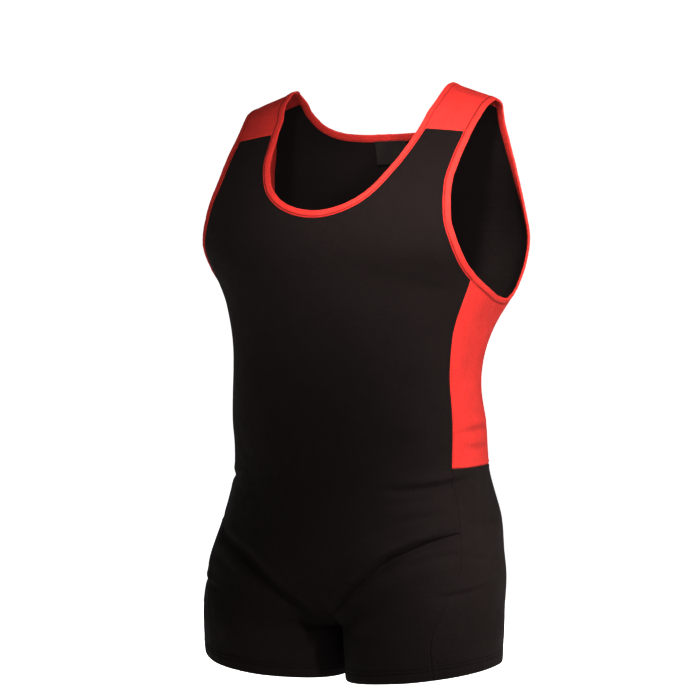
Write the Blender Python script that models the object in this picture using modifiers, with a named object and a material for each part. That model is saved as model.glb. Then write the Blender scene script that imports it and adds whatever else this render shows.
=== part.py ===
"""A lifting singlet, worn and filled out, with no wearer.

The wearer faces -Y and the wearer's left is +X. The origin is midway between the two shoulder
straps at the shoulder line. Lengths are in metres.

The cloth is one smooth form, cut into the maker's pieces along the seams. A place on the left half
of the form has a turn and a level. The turn is 90 degrees at the centre front, 0 at the outer side
and -90 at the centre back, and on a leg 90 and -90 both lie on the inner leg seam. The level is the
height at the outer side. The right half mirrors the left.
"""

import bmesh
import bpy
import numpy as np

# Walls and gaps. The seam behind the shoulder ridge has a wider one, since the bent walls close it inside
CLOTH = 0.0014
HEM_CLOTH = 0.0028
SEAM_GAP = 0.0003
RIDGE_GAP = 0.0006
BINDING_WIDTH = 0.0092
BINDING_PROUD = 0.0007
BINDING_THICK = 0.0030
BINDING_ROUND = 0.0008
HEM_DEPTH = 0.0175
HEM_STEP = 0.0015

# Cross sections of the form, from the shoulder line down to the hems
SECTION_COLUMNS = ("level", "side_x", "front_y", "back_y", "side_y", "front_square", "back_square", "leg_gap")
SECTIONS = (
    (-0.0030, 0.119, -0.0350, 0.0230, 0.000, 2.00, 2.00, 0.000),
    (-0.0115, 0.141, -0.0400, 0.0265, 0.000, 2.20, 2.10, 0.000),
    (-0.0200, 0.163, -0.0455, 0.0300, 0.000, 2.50, 2.30, 0.000),
    (-0.0300, 0.177, -0.0515, 0.0335, 0.000, 3.00, 2.70, 0.000),
    (-0.0450, 0.183, -0.0620, 0.0380, -0.002, 3.60, 3.20, 0.000),
    (-0.0640, 0.185, -0.0780, 0.0450, -0.004, 4.20, 3.60, 0.000),
    (-0.1100, 0.188, -0.1220, 0.0600, -0.008, 4.30, 4.20, 0.000),
    (-0.1600, 0.191, -0.1560, 0.0860, -0.014, 4.20, 4.90, 0.000),
    (-0.2000, 0.192, -0.1675, 0.0990, -0.020, 3.90, 4.80, 0.000),
    (-0.2500, 0.184, -0.1650, 0.0985, -0.026, 2.55, 3.80, 0.000),
    (-0.3000, 0.165, -0.1630, 0.0880, -0.036, 2.50, 2.75, 0.000),
    (-0.3550, 0.157, -0.1630, 0.071, -0.047, 2.55, 2.40, 0.000),
    (-0.4200, 0.161, -0.1620, 0.078, -0.046, 2.40, 2.40, 0.000),
    (-0.4790, 0.162, -0.1570, 0.091, -0.041, 2.30, 2.40, 0.000),
    (-0.5400, 0.179, -0.1600, 0.091, -0.045, 2.25, 2.50, 0.000),
    (-0.6000, 0.194, -0.1660, 0.072, -0.055, 2.40, 2.40, 0.000),
    (-0.6500, 0.198, -0.1660, 0.056, -0.060, 2.40, 2.30, 0.000),
    (-0.6900, 0.197, -0.1630, 0.044, -0.063, 2.40, 2.30, 0.000),
    (-0.7450, 0.194, -0.1560, 0.028, -0.063, 2.30, 2.20, 0.006),
)

# Where the one tube of the body divides into two legs
FORK_TOP = -0.575
FORK_END = -0.690
CROTCH_Z = -0.674
INNER_HEM_Z = -0.745
INNER_HEM_LEVEL = -0.745
CENTRE_FROM_TURN = 30.0

# Cloth edge of the neck, from the centre front to the centre back. Each row is read off a drawing
# of the front, back or side: distance across (x, or y in the side drawing) and height
NECK = (
    ("front", 0.0000, -0.1705),
    ("front", 0.0290, -0.1662),
    ("front", 0.0535, -0.1562),
    ("front", 0.0745, -0.1392),
    ("front", 0.0905, -0.1155),
    ("front", 0.1005, -0.0890),
    ("front", 0.1075, -0.0610),
    ("front", 0.1130, -0.0350),
    ("front", 0.1172, -0.0140),
    ("front", 0.1190, -0.0030),
    ("back", 0.1170, -0.0140),
    ("back", 0.1137, -0.0290),
    ("back", 0.1010, -0.0450),
    ("back", 0.0790, -0.0575),
    ("back", 0.0450, -0.0635),
    ("back", 0.0000, -0.0645),
)
NECK_FRONT_SEAM = 6
NECK_BACK_SEAM = 10

# Cloth edge of the armhole, from the front shoulder seam down, under the arm and up to it again
ARMHOLE = (
    ("front", 0.1575, -0.0675),
    ("front", 0.1558, -0.1030),
    ("side", -0.1210, -0.1290),
    ("side", -0.1340, -0.1560),
    ("side", -0.1390, -0.1810),
    ("side", -0.1340, -0.2040),
    ("side", -0.1180, -0.2250),
    ("side", -0.0885, -0.2465),
    ("side", -0.0500, -0.2640),
    ("side", -0.0120, -0.2735),
    ("side", 0.0240, -0.2740),
    ("side", 0.0470, -0.2600),
    ("side", 0.0600, -0.2380),
    ("side", 0.0660, -0.2120),
    ("side", 0.0660, -0.1800),
    ("side", 0.0540, -0.1400),
    ("back", 0.1715, -0.1050),
    ("back", 0.1650, -0.0750),
    ("back", 0.1610, -0.0480),
    ("back", 0.1620, -0.0300),
    ("back", 0.1630, -0.0200),
    ("front", 0.1622, -0.0290),
    ("front", 0.1600, -0.0460),
    ("front", 0.1575, -0.0675),
)
ARMHOLE_PANEL_FRONT = 7
ARMHOLE_PANEL_BACK = 11
ARMHOLE_BACK_SEAM = 19

# What each drawing shows: the axis across it and the turns that it takes in
DRAWINGS = {"front": (0, 0.0, 90.0), "back": (0, -90.0, 0.0), "side": (1, -90.0, 90.0)}

# Side seam below the armhole, in front of the red side panel and on down to the hem: level, turn
SIDE_SEAM = (
    (-0.2465, 25.4),
    (-0.2730, 25.3),
    (-0.3100, 24.5),
    (-0.3420, 23.6),
    (-0.3730, 22.8),
    (-0.4210, 22.6),
    (-0.4730, 23.8),
    (-0.5130, 25.0),
    (-0.5490, 27.0),
    (-0.5790, 29.3),
    (-0.6100, 30.2),
    (-0.6600, 29.6),
    (-0.7100, 28.4),
    (-0.7450, 28.0),
)
PANEL_BOTTOM = -0.473
PANEL_BACK_TURN = -30.0

# The V seam across the lower front, from the middle out to the side seam: turn, level
V_SEAM = (
    (90.0, -0.6250),
    (84.0, -0.6205),
    (75.8, -0.6060),
    (68.7, -0.5915),
    (63.0, -0.5805),
    (54.0, -0.5700),
    (45.5, -0.5595),
    (36.5, -0.5530),
    (27.0, -0.5490),
)

# Hem: its level at the middle of the leg, its rise to the outer side and its tilt to the front
HEM_LEVEL = -0.7245
HEM_RISE = 0.0125
HEM_TILT = 0.0030

# Largest folds: turn and level of each end, depth of the trough and half its width
FOLD_COLUMNS = ("turn_a", "level_a", "turn_b", "level_b", "depth", "half_width")
FOLDS = (
    (14.0, -0.481, 60.0, -0.497, 0.0024, 0.012),
    (86.0, -0.624, 58.0, -0.579, 0.0034, 0.012),
    (66.0, -0.590, 34.0, -0.557, 0.0030, 0.011),
    (-8.0, -0.538, 27.0, -0.533, 0.0016, 0.012),
    (-20.0, -0.572, 24.0, -0.586, 0.0016, 0.012),
    (6.0, -0.606, 40.0, -0.622, 0.0016, 0.013),
    (-30.0, -0.486, -70.0, -0.512, 0.0020, 0.014),
    (-24.0, -0.622, -64.0, -0.640, 0.0026, 0.013),
    (70.0, -0.236, 36.0, -0.258, 0.0018, 0.014),
)

FOLD_FREE_TURN = 12.0

# How many steps the grids have along each stretch
NECK_FRONT_STEPS = 11
STRAP_STEPS = 3
SHOULDER_STEPS = 10
NECK_BACK_STEPS = 9
ARMHOLE_FRONT_STEPS = 11
ARMHOLE_BACK_STEPS = 11
SIDE_PANEL_COLUMNS = 6
SIDE_PANEL_ROWS = 11
HIP_ROWS = 4
LEG_ROWS_TO_CROTCH = 2
LEG_ROWS_ABOVE = 4

# Label inside the back of the neck
LABEL_WIDTH = 0.044
LABEL_DEPTH = 0.030
LABEL_TOP = -0.0670
LABEL_THICK = 0.0010
LABEL_COLUMNS = 6
LABEL_ROWS = 3

BLACK = (0.012, 0.011, 0.012)
RED = (0.62, 0.035, 0.028)
CLOTH_ROUGHNESS = 0.78

SECTION = dict(zip(SECTION_COLUMNS, np.array(SECTIONS[::-1]).T))
TURNS = np.linspace(-90.0, 90.0, 3601)
TURN_STEP = 0.5
LEVEL_STEP = 0.0015


def eased(part):
    """0 to 1 along a smooth S."""
    part = np.clip(part, 0.0, 1.0)
    return part * part * (3 - 2 * part)


def curve_at(at, places, values):
    """Value at a place on the smooth curve through a table: cubic Hermite with central slopes."""
    places, values = np.asarray(places, float), np.asarray(values, float)
    at = np.clip(at, places[0], places[-1])
    slopes = np.gradient(values, places)
    i = np.clip(np.searchsorted(places, at, side="right") - 1, 0, len(places) - 2)
    step = places[i + 1] - places[i]
    f = (at - places[i]) / step
    return (
        (1 + 2 * f) * (1 - f) ** 2 * values[i]
        + f * (1 - f) ** 2 * step * slopes[i]
        + f * f * (3 - 2 * f) * values[i + 1]
        + f * f * (f - 1) * step * slopes[i + 1]
    )


def section(name, level):
    return curve_at(level, SECTION["level"], SECTION[name])


def body(turn, level):
    """Point on the one tube: a squared-off ellipse, with its own depth and squareness front and back."""
    a = np.radians(turn)
    front = turn >= 0
    square = np.where(front, section("front_square", level), section("back_square", level))
    side_y = section("side_y", level)
    depth = np.where(front, side_y - section("front_y", level), section("back_y", level) - side_y)
    reach = (np.abs(np.cos(a)) ** square + np.abs(np.sin(a)) ** square) ** (-1 / square)
    return section("side_x", level) * reach * np.cos(a), side_y - depth * reach * np.sin(a)


def leg(turn, level):
    """Point on a leg: the turn is doubled, so that it runs right round from the inner seam to itself."""
    a = np.radians(2 * turn)
    side_x, gap, side_y = (section(name, level) for name in ("side_x", "leg_gap", "side_y"))
    front_y, back_y = section("front_y", level), section("back_y", level)
    middle_y = (front_y + back_y) / 2
    outward = (1 + np.cos(a)) / 2
    x = gap + (side_x - gap) * outward
    return x, middle_y + (side_y - middle_y) * outward - (back_y - front_y) / 2 * np.sin(a)


def form(turn, level):
    """Point on the form's left half: the tube blends into the leg, and the middle dips to the crotch."""
    turn, level = np.broadcast_arrays(np.asarray(turn, float), np.asarray(level, float))
    one_tube = eased((level - FORK_END) / (FORK_TOP - FORK_END))
    body_x, body_y = body(turn, level)
    leg_x, leg_y = leg(turn, level)
    x = one_tube * body_x + (1 - one_tube) * leg_x
    y = one_tube * body_y + (1 - one_tube) * leg_y
    rise = CROTCH_Z + (FORK_TOP - CROTCH_Z) * (1 - np.sqrt(1 - one_tube**2))
    below = CROTCH_Z + (level - FORK_END) * (INNER_HEM_Z - CROTCH_Z) / (INNER_HEM_LEVEL - FORK_END)
    middle = np.where(level > FORK_TOP, level, np.where(level > FORK_END, rise, below))
    near_middle = eased((np.abs(turn) - CENTRE_FROM_TURN) / (90 - CENTRE_FROM_TURN))
    return np.stack([x, y, level + near_middle * (middle - level)], axis=-1)


def facing(turn, level):
    """Unit normal of the form, pointing out."""
    turn, level = np.broadcast_arrays(np.asarray(turn, float), np.asarray(level, float))
    lowest, highest = SECTION["level"][[0, -1]]
    above, below = np.minimum(level + LEVEL_STEP, highest), np.maximum(level - LEVEL_STEP, lowest)
    up = form(turn, above) - form(turn, below)
    behind, ahead = np.maximum(turn - TURN_STEP, -90.0), np.minimum(turn + TURN_STEP, 90.0)
    across = form(behind, level) - form(ahead, level)
    out = np.cross(across, up)
    return out / np.linalg.norm(out, axis=-1, keepdims=True)


def fold_depth(turn, level):
    """How far the folds sink the cloth: each is a bell-shaped trough along a line, fading to its ends."""
    depth = np.zeros(np.broadcast(turn, level).shape)
    here = form(turn, level)
    for row in FOLDS:
        fold = dict(zip(FOLD_COLUMNS, row))
        start = form(fold["turn_a"], fold["level_a"])
        along = form(fold["turn_b"], fold["level_b"]) - start
        part = np.clip((here - start) @ along / (along @ along), 0.0, 1.0)
        away = np.linalg.norm(here - start - part[..., None] * along, axis=-1)
        fade = np.sqrt(np.clip(np.sin(np.pi * np.clip(part, 0.02, 0.98)), 0.0, 1.0))
        depth += fold["depth"] * fade * np.exp(-((away / fold["half_width"]) ** 2))
    return depth


def cloth(turn, level):
    """Outer surface of the cloth: the form with its folds pressed in, and the centre line kept at x = 0."""
    turn, level = np.broadcast_arrays(np.asarray(turn, float), np.asarray(level, float))
    sunk = fold_depth(turn, level) * eased((90 - np.abs(turn)) / FOLD_FREE_TURN)
    return form(turn, level) - sunk[..., None] * facing(turn, level)


def turn_of(drawing, across, level):
    """Turn at which the form is this far across in a drawing, at this level."""
    axis, lowest, highest = DRAWINGS[drawing]
    turns = TURNS[(TURNS >= lowest) & (TURNS <= highest)]
    return turns[np.abs(form(turns, level)[:, axis] - across).argmin()]


def chord_places(points):
    """Distance from the first point, along the straight lines between points."""
    return np.concatenate([[0.0], np.cumsum(np.linalg.norm(np.diff(points, axis=0), axis=1))])


def laid_on(rows):
    """Point on the form for each row of an edge that was read off a drawing."""
    return np.array([form(turn_of(drawing, across, z), z) for drawing, across, z in rows])


def along_edge(points, first, last, steps):
    """Evenly spaced (turn, level) on the smooth curve through an edge's points, from one to another."""
    places = chord_places(points)
    at = np.linspace(places[first], places[last], steps + 1)
    curve = np.stack([curve_at(at, places, points[:, k]) for k in range(3)], axis=-1)
    levels = np.minimum(curve[:, 2], SECTION["level"][-1])
    rings = form(TURNS[None, :], levels[:, None])
    off = np.linalg.norm(rings[..., :2] - curve[:, None, :2], axis=-1)
    return np.stack([TURNS[off.argmin(axis=1)], levels], axis=-1)


def along_seam(rows, steps):
    """Evenly spaced (turn, level) on the smooth curve through a seam's (turn, level) rows."""
    rows = np.array(rows)
    places = chord_places(form(rows[:, 0], rows[:, 1]))
    at = np.linspace(0.0, places[-1], steps + 1)
    return np.stack([curve_at(at, places, rows[:, k]) for k in (0, 1)], axis=-1)


def straight(start, end, steps):
    """Evenly spaced (turn, level) on the straight line between two."""
    return np.linspace(start, end, steps + 1)


def joined(*stretches):
    """One line from stretches that share their end points."""
    return np.concatenate([stretches[0]] + [stretch[1:] for stretch in stretches[1:]])


def side_seam(levels):
    """(turn, level) on the side seam at these levels."""
    rows = np.array(SIDE_SEAM[::-1])
    return np.stack([curve_at(levels, rows[:, 0], rows[:, 1]), levels], axis=-1)


def hem_level(turn):
    a = np.radians(2 * np.asarray(turn, float))
    return HEM_LEVEL + HEM_RISE * np.cos(a) - HEM_TILT * np.sin(a)


def leg_levels(hem, stops):
    """Levels of a leg's rows: the hem, the top of its turned cloth, and then even steps to each stop."""
    levels = [hem, hem + HEM_DEPTH, hem + HEM_DEPTH + HEM_STEP]
    for stop, rows in stops:
        levels += list(np.linspace(levels[-1], stop, rows + 1)[1:])
    return np.array(levels)


def spread(levels, start, end):
    """Levels from start to end, spaced like the given ones."""
    return start + (levels - levels[0]) / (levels[-1] - levels[0]) * (end - start)


def on_line(turn, levels):
    return np.stack([np.full(len(levels), float(turn)), levels], axis=-1)


def blended(bottom, top, first, last):
    """Grid of (turn, level) inside four edges: a Coons patch, with its rows running up."""
    u = np.linspace(0, 1, len(bottom))[None, :, None]
    v = np.linspace(0, 1, len(first))[:, None, None]
    corners = (1 - v) * ((1 - u) * bottom[0] + u * bottom[-1]) + v * ((1 - u) * top[0] + u * top[-1])
    return (1 - v) * bottom + v * top + (1 - u) * first[:, None] + u * last[:, None] - corners


def edge_of(points, edge):
    """The line of points at one edge of a grid, and the line just inside it."""
    return {
        "bottom": (points[0], points[1]),
        "top": (points[-1], points[-2]),
        "first": (points[:, 0], points[:, 1]),
        "last": (points[:, -1], points[:, -2]),
    }[edge]


def pulled_in(points, gaps):
    """The grid with edges moved inward along the cloth, to leave the gaps at seams."""
    points = points.copy()
    for edge, gap in gaps.items():
        line, inside = edge_of(points, edge)
        run = np.gradient(line, axis=0)
        run /= np.linalg.norm(run, axis=1, keepdims=True)
        inward = inside - line
        inward -= (inward * run).sum(axis=1, keepdims=True) * run
        line += gap * inward / np.linalg.norm(inward, axis=1, keepdims=True)
    return points


def mirrored(points):
    return points * (-1.0, 1.0, 1.0)


def grid_faces(rows, columns):
    """Four-cornered faces of a grid whose points are numbered row by row."""
    corner = np.arange(rows * columns).reshape(rows, columns)
    faces = np.stack([corner[:-1, :-1], corner[:-1, 1:], corner[1:, 1:], corner[1:, :-1]], axis=-1)
    return faces.reshape(-1, 4)


def material_of(name, colour):
    material = bpy.data.materials.new(name)
    material.use_nodes = True
    shader = material.node_tree.nodes["Principled BSDF"]
    shader.inputs["Base Color"].default_value = (*colour, 1.0)
    shader.inputs["Roughness"].default_value = CLOTH_ROUGHNESS
    shader.inputs["Metallic"].default_value = 0.0
    material.diffuse_color = (*colour, 1.0)
    return material


def add_object(name, points, faces, colour, collection):
    mesh = bpy.data.meshes.new(name)
    mesh.from_pydata(points.reshape(-1, 3).tolist(), [], faces.tolist())
    mesh.validate()
    mesh.shade_smooth()
    mesh.materials.append(material_of(name, colour))
    piece = bpy.data.objects.new(name, mesh)
    collection.objects.link(piece)
    return piece


def faces_out(points, faces, out):
    """The faces turned so that their normals point out."""
    flat, out = points.reshape(-1, 3), out.reshape(-1, 3)
    normal = np.cross(flat[faces[:, 1]] - flat[faces[:, 0]], flat[faces[:, 3]] - flat[faces[:, 0]])
    return faces if (normal * out[faces[:, 0]]).sum() > 0 else faces[:, ::-1]


def add_panel(name, points, out, colour, collection, missing=None, hem_rows=0, thickness=CLOTH):
    """A cut piece: an open grid of its outer points, with the wall inside it."""
    rows, columns = points.shape[:2]
    faces = grid_faces(rows, columns)
    if missing is not None:
        faces = faces[~missing.reshape(-1)[faces].any(axis=1)]
    piece = add_object(name, points, faces_out(points, faces, out), colour, collection)
    wall = piece.modifiers.new("Wall", "SOLIDIFY")
    wall.offset = -1.0
    wall.use_quality_normals = True
    wall.thickness = thickness
    if hem_rows:
        hem = piece.vertex_groups.new(name="Hem")
        hem.add(list(range(hem_rows * columns)), 1.0, "REPLACE")
        wall.vertex_group = hem.name
        wall.thickness = HEM_CLOTH
        wall.thickness_vertex_group = thickness / HEM_CLOTH
    if missing is not None:
        drop_loose_points(piece.data)
    return piece


def drop_loose_points(mesh):
    work = bmesh.new()
    work.from_mesh(mesh)
    bmesh.ops.delete(work, geom=[v for v in work.verts if not v.link_faces], context="VERTS")
    work.to_mesh(mesh)
    work.free()


def add_binding(name, edge, out, collection):
    """A binding: a rounded flat profile carried round the closed cloth edge, reaching into the opening."""
    run = np.roll(edge, -1, axis=0) - np.roll(edge, 1, axis=0)
    inward = np.cross(out, run)
    inward /= np.linalg.norm(inward, axis=1, keepdims=True)
    if (inward * (edge.mean(axis=0) - edge)).sum() < 0:
        inward = -inward
    near, far = SEAM_GAP, BINDING_WIDTH
    high, low = BINDING_PROUD, BINDING_PROUD - BINDING_THICK
    corner = BINDING_ROUND
    profile = np.array((
        (near + corner, high), (far - corner, high), (far, high - corner), (far, low + corner),
        (far - corner, low), (near + corner, low), (near, low + corner), (near, high - corner),
    ))
    points = edge[:, None] + profile[None, :, :1] * inward[:, None] + profile[None, :, 1:] * out[:, None]
    points = np.concatenate([points, points[:1]])
    points = np.concatenate([points, points[:, :1]], axis=1)
    faces = grid_faces(*points.shape[:2])
    outward = points - points[:, :-1].mean(axis=1, keepdims=True)
    piece = add_object(name, points, faces_out(points, faces, outward), RED, collection)
    work = bmesh.new()
    work.from_mesh(piece.data)
    bmesh.ops.remove_doubles(work, verts=work.verts, dist=1e-6)
    work.to_mesh(piece.data)
    work.free()
    return piece


def build():
    for old in list(bpy.data.objects):
        bpy.data.objects.remove(old)
    collection = bpy.data.collections.new("lifting_singlet")
    bpy.context.scene.collection.children.link(collection)

    neck, armhole = laid_on(NECK), laid_on(ARMHOLE)
    neck_front_z, neck_back_z = neck[0, 2], neck[-1, 2]
    panel_top = armhole[ARMHOLE_PANEL_FRONT, 2]
    v_end = V_SEAM[-1][1]

    # Shared seam lines, so that neighbours have the same points along a seam
    neck_front = along_edge(neck, 0, NECK_FRONT_SEAM, NECK_FRONT_STEPS)
    neck_strap = along_edge(neck, NECK_FRONT_SEAM, NECK_BACK_SEAM, SHOULDER_STEPS)
    neck_back = along_edge(neck, NECK_BACK_SEAM, len(neck) - 1, NECK_BACK_STEPS)
    arm_front = along_edge(armhole, 0, ARMHOLE_PANEL_FRONT, ARMHOLE_FRONT_STEPS)
    arm_under = along_edge(armhole, ARMHOLE_PANEL_FRONT, ARMHOLE_PANEL_BACK, SIDE_PANEL_COLUMNS)
    arm_back = along_edge(armhole, ARMHOLE_PANEL_BACK, ARMHOLE_BACK_SEAM, ARMHOLE_BACK_STEPS)
    arm_strap = along_edge(armhole, ARMHOLE_BACK_SEAM, len(armhole) - 1, SHOULDER_STEPS)
    front_shoulder_seam = straight(neck_front[-1], arm_front[0], STRAP_STEPS)
    back_shoulder_seam = straight(arm_back[-1], neck_back[0], STRAP_STEPS)
    v_seam = along_seam(V_SEAM, NECK_FRONT_STEPS + STRAP_STEPS)
    hip_seam = side_seam(np.linspace(v_end, PANEL_BOTTOM, HIP_ROWS + 1))
    panel_front_seam = side_seam(np.linspace(PANEL_BOTTOM, panel_top, SIDE_PANEL_ROWS + 1))
    panel_front_seam[-1] = arm_front[-1]
    panel_back_seam = straight((PANEL_BACK_TURN, PANEL_BOTTOM), arm_under[-1], SIDE_PANEL_ROWS)
    panel_bottom_seam = straight(panel_front_seam[0], panel_back_seam[0], SIDE_PANEL_COLUMNS)
    outer_turn = side_seam(np.array([hem_level(SIDE_SEAM[-1][1])]))[0, 0]
    leg_outer = side_seam(leg_levels(hem_level(outer_turn), ((v_end, LEG_ROWS_TO_CROTCH + LEG_ROWS_ABOVE),)))
    leg_inner = leg_levels(
        hem_level(90.0), ((FORK_END, LEG_ROWS_TO_CROTCH), (V_SEAM[0][1], LEG_ROWS_ABOVE))
    )

    def cut(name, grid, colour, gaps, **options):
        points = pulled_in(cloth(grid[..., 0], grid[..., 1]), gaps)
        out = facing(grid[..., 0], grid[..., 1])
        add_panel(name + "_left", points, out, colour, collection, **options)
        add_panel(name + "_right", mirrored(points), mirrored(out), colour, collection, **options)

    # Front: the left half and its mirror image, joined at the centre line
    side = joined(hip_seam, panel_front_seam, arm_front[::-1])
    centre = on_line(90.0, spread(side[:, 1], V_SEAM[0][1], neck_front_z))
    half = blended(v_seam, joined(neck_front, front_shoulder_seam), centre, side)
    points, out = cloth(half[..., 0], half[..., 1]), facing(half[..., 0], half[..., 1])
    points = np.concatenate([mirrored(points)[:, :0:-1], points], axis=1)
    out = np.concatenate([mirrored(out)[:, :0:-1], out], axis=1)
    points = pulled_in(points, {"first": SEAM_GAP, "last": SEAM_GAP})
    add_panel("front_panel", points, out, BLACK, collection)

    # Front of each leg, below the V seam
    turns = np.linspace(90.0, leg_outer[0, 0], len(v_seam))
    hem = np.stack([turns, hem_level(turns)], axis=-1)
    grid = blended(hem, v_seam, on_line(90.0, leg_inner), leg_outer)
    gaps = {"top": SEAM_GAP, "first": SEAM_GAP, "last": 2 * SEAM_GAP}
    cut("thigh_front", grid, BLACK, gaps, hem_rows=2)

    # Back halves: below the side panel they reach the side seam, above it the panel's back seam
    waist = joined(
        panel_bottom_seam, straight(panel_back_seam[0], (-90.0, PANEL_BOTTOM), STRAP_STEPS + NECK_BACK_STEPS)
    )
    turns = np.linspace(leg_outer[0, 0], -90.0, len(waist))
    hem = np.stack([turns, hem_level(turns)], axis=-1)
    outer = joined(leg_outer, hip_seam)
    hip_levels = spread(hip_seam[:, 1], leg_inner[-1], PANEL_BOTTOM)
    inner = on_line(-90.0, np.concatenate([leg_inner, hip_levels[1:]]))
    lower = blended(hem, waist, outer, inner)
    outer = joined(panel_back_seam, arm_back)
    inner = on_line(-90.0, spread(outer[:, 1], PANEL_BOTTOM, neck_back_z))
    upper = blended(waist[SIDE_PANEL_COLUMNS:], joined(back_shoulder_seam, neck_back), outer, inner)
    empty = np.repeat(upper[1:, :1], SIDE_PANEL_COLUMNS, axis=1)
    grid = np.concatenate([lower, np.concatenate([empty, upper[1:]], axis=1)])
    missing = np.zeros(grid.shape[:2], bool)
    missing[len(lower):, :SIDE_PANEL_COLUMNS] = True
    cut("back", grid, BLACK, {"last": SEAM_GAP}, missing=missing, hem_rows=2)

    # Red side panels and shoulder panels
    grid = blended(panel_bottom_seam, arm_under, panel_front_seam, panel_back_seam)
    gaps = {"bottom": SEAM_GAP, "last": SEAM_GAP}
    cut("side_panel", grid, RED, gaps)
    grid = blended(front_shoulder_seam, back_shoulder_seam[::-1], neck_strap, arm_strap[::-1])
    cut("shoulder_panel", grid, RED, {"bottom": SEAM_GAP, "top": RIDGE_GAP})

    # Bindings
    line = joined(neck_front, neck_strap, neck_back)
    edge, out = cloth(line[:, 0], line[:, 1]), facing(line[:, 0], line[:, 1])
    edge = np.concatenate([edge, mirrored(edge)[-2:0:-1]])
    out = np.concatenate([out, mirrored(out)[-2:0:-1]])
    add_binding("neck_binding", edge, out, collection)
    line = joined(arm_front, arm_under, arm_back, arm_strap)[:-1]
    edge, out = cloth(line[:, 0], line[:, 1]), facing(line[:, 0], line[:, 1])
    add_binding("armhole_binding_left", edge, out, collection)
    add_binding("armhole_binding_right", mirrored(edge), mirrored(out), collection)

    # Label inside the back of the neck
    levels = np.linspace(LABEL_TOP - LABEL_DEPTH, LABEL_TOP, LABEL_ROWS + 1)
    across = np.linspace(0.0, LABEL_WIDTH / 2, LABEL_COLUMNS // 2 + 1)
    grid = np.array([[(turn_of("back", x, level), level) for x in across] for level in levels])
    out = facing(grid[..., 0], grid[..., 1])
    points = cloth(grid[..., 0], grid[..., 1]) - (CLOTH + SEAM_GAP) * out
    points = np.concatenate([mirrored(points)[:, :0:-1], points], axis=1)
    out = np.concatenate([mirrored(out)[:, :0:-1], out], axis=1)
    add_panel("neck_label", points, out, BLACK, collection, thickness=LABEL_THICK)


build()
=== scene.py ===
"""A lifting singlet, worn and filled out with no wearer: its knit panels, bound edges, hems and label.

Lengths are in metres, but for the table of creases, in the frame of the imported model: the wearer faces
-Y, the wearer's left is +X and the origin is midway between the shoulder straps. The cloth is one
smooth form. A place on the left half has a turn (90 degrees at the centre front, 0 at the outer side,
-90 at the centre back; on a leg both 90 and -90 are the inner seam) and a level (the height at the
outer side).
"""

import copy
import math

import bpy
import numpy as np
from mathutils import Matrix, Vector

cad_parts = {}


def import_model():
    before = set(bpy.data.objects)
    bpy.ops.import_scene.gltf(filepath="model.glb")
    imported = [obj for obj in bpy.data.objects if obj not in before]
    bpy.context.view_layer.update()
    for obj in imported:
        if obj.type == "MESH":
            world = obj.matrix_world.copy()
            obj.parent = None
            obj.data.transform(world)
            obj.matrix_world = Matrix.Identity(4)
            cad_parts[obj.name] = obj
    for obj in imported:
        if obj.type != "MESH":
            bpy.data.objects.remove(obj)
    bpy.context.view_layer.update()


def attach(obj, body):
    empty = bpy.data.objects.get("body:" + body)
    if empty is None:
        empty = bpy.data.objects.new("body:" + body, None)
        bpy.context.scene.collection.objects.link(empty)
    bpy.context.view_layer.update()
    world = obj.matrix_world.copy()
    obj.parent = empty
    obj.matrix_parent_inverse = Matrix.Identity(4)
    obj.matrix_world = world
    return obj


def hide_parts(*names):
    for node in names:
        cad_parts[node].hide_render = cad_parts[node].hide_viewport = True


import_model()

# The form and the seams, with the same names and values as in the part's source
CLOTH = 0.0014
HEM_CLOTH = 0.0028
BINDING_WIDTH = 0.0092
HEM_DEPTH = 0.0175

SECTION_COLUMNS = ("level", "side_x", "front_y", "back_y", "side_y", "front_square", "back_square", "leg_gap")
SECTIONS = (
    (-0.0030, 0.119, -0.0350, 0.0230, 0.000, 2.00, 2.00, 0.000),
    (-0.0115, 0.141, -0.0400, 0.0265, 0.000, 2.20, 2.10, 0.000),
    (-0.0200, 0.163, -0.0455, 0.0300, 0.000, 2.50, 2.30, 0.000),
    (-0.0300, 0.177, -0.0515, 0.0335, 0.000, 3.00, 2.70, 0.000),
    (-0.0450, 0.183, -0.0620, 0.0380, -0.002, 3.60, 3.20, 0.000),
    (-0.0640, 0.185, -0.0780, 0.0450, -0.004, 4.20, 3.60, 0.000),
    (-0.1100, 0.188, -0.1220, 0.0600, -0.008, 4.30, 4.20, 0.000),
    (-0.1600, 0.191, -0.1560, 0.0860, -0.014, 4.20, 4.90, 0.000),
    (-0.2000, 0.192, -0.1675, 0.0990, -0.020, 3.90, 4.80, 0.000),
    (-0.2500, 0.184, -0.1650, 0.0985, -0.026, 2.55, 3.80, 0.000),
    (-0.3000, 0.165, -0.1630, 0.0880, -0.036, 2.50, 2.75, 0.000),
    (-0.3550, 0.157, -0.1630, 0.071, -0.047, 2.55, 2.40, 0.000),
    (-0.4200, 0.161, -0.1620, 0.078, -0.046, 2.40, 2.40, 0.000),
    (-0.4790, 0.162, -0.1570, 0.091, -0.041, 2.30, 2.40, 0.000),
    (-0.5400, 0.179, -0.1600, 0.091, -0.045, 2.25, 2.50, 0.000),
    (-0.6000, 0.194, -0.1660, 0.072, -0.055, 2.40, 2.40, 0.000),
    (-0.6500, 0.198, -0.1660, 0.056, -0.060, 2.40, 2.30, 0.000),
    (-0.6900, 0.197, -0.1630, 0.044, -0.063, 2.40, 2.30, 0.000),
    (-0.7450, 0.194, -0.1560, 0.028, -0.063, 2.30, 2.20, 0.006),
)
FORK_TOP = -0.575
FORK_END = -0.690
CROTCH_Z = -0.674
INNER_HEM_Z = -0.745
INNER_HEM_LEVEL = -0.745
CENTRE_FROM_TURN = 30.0

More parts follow.
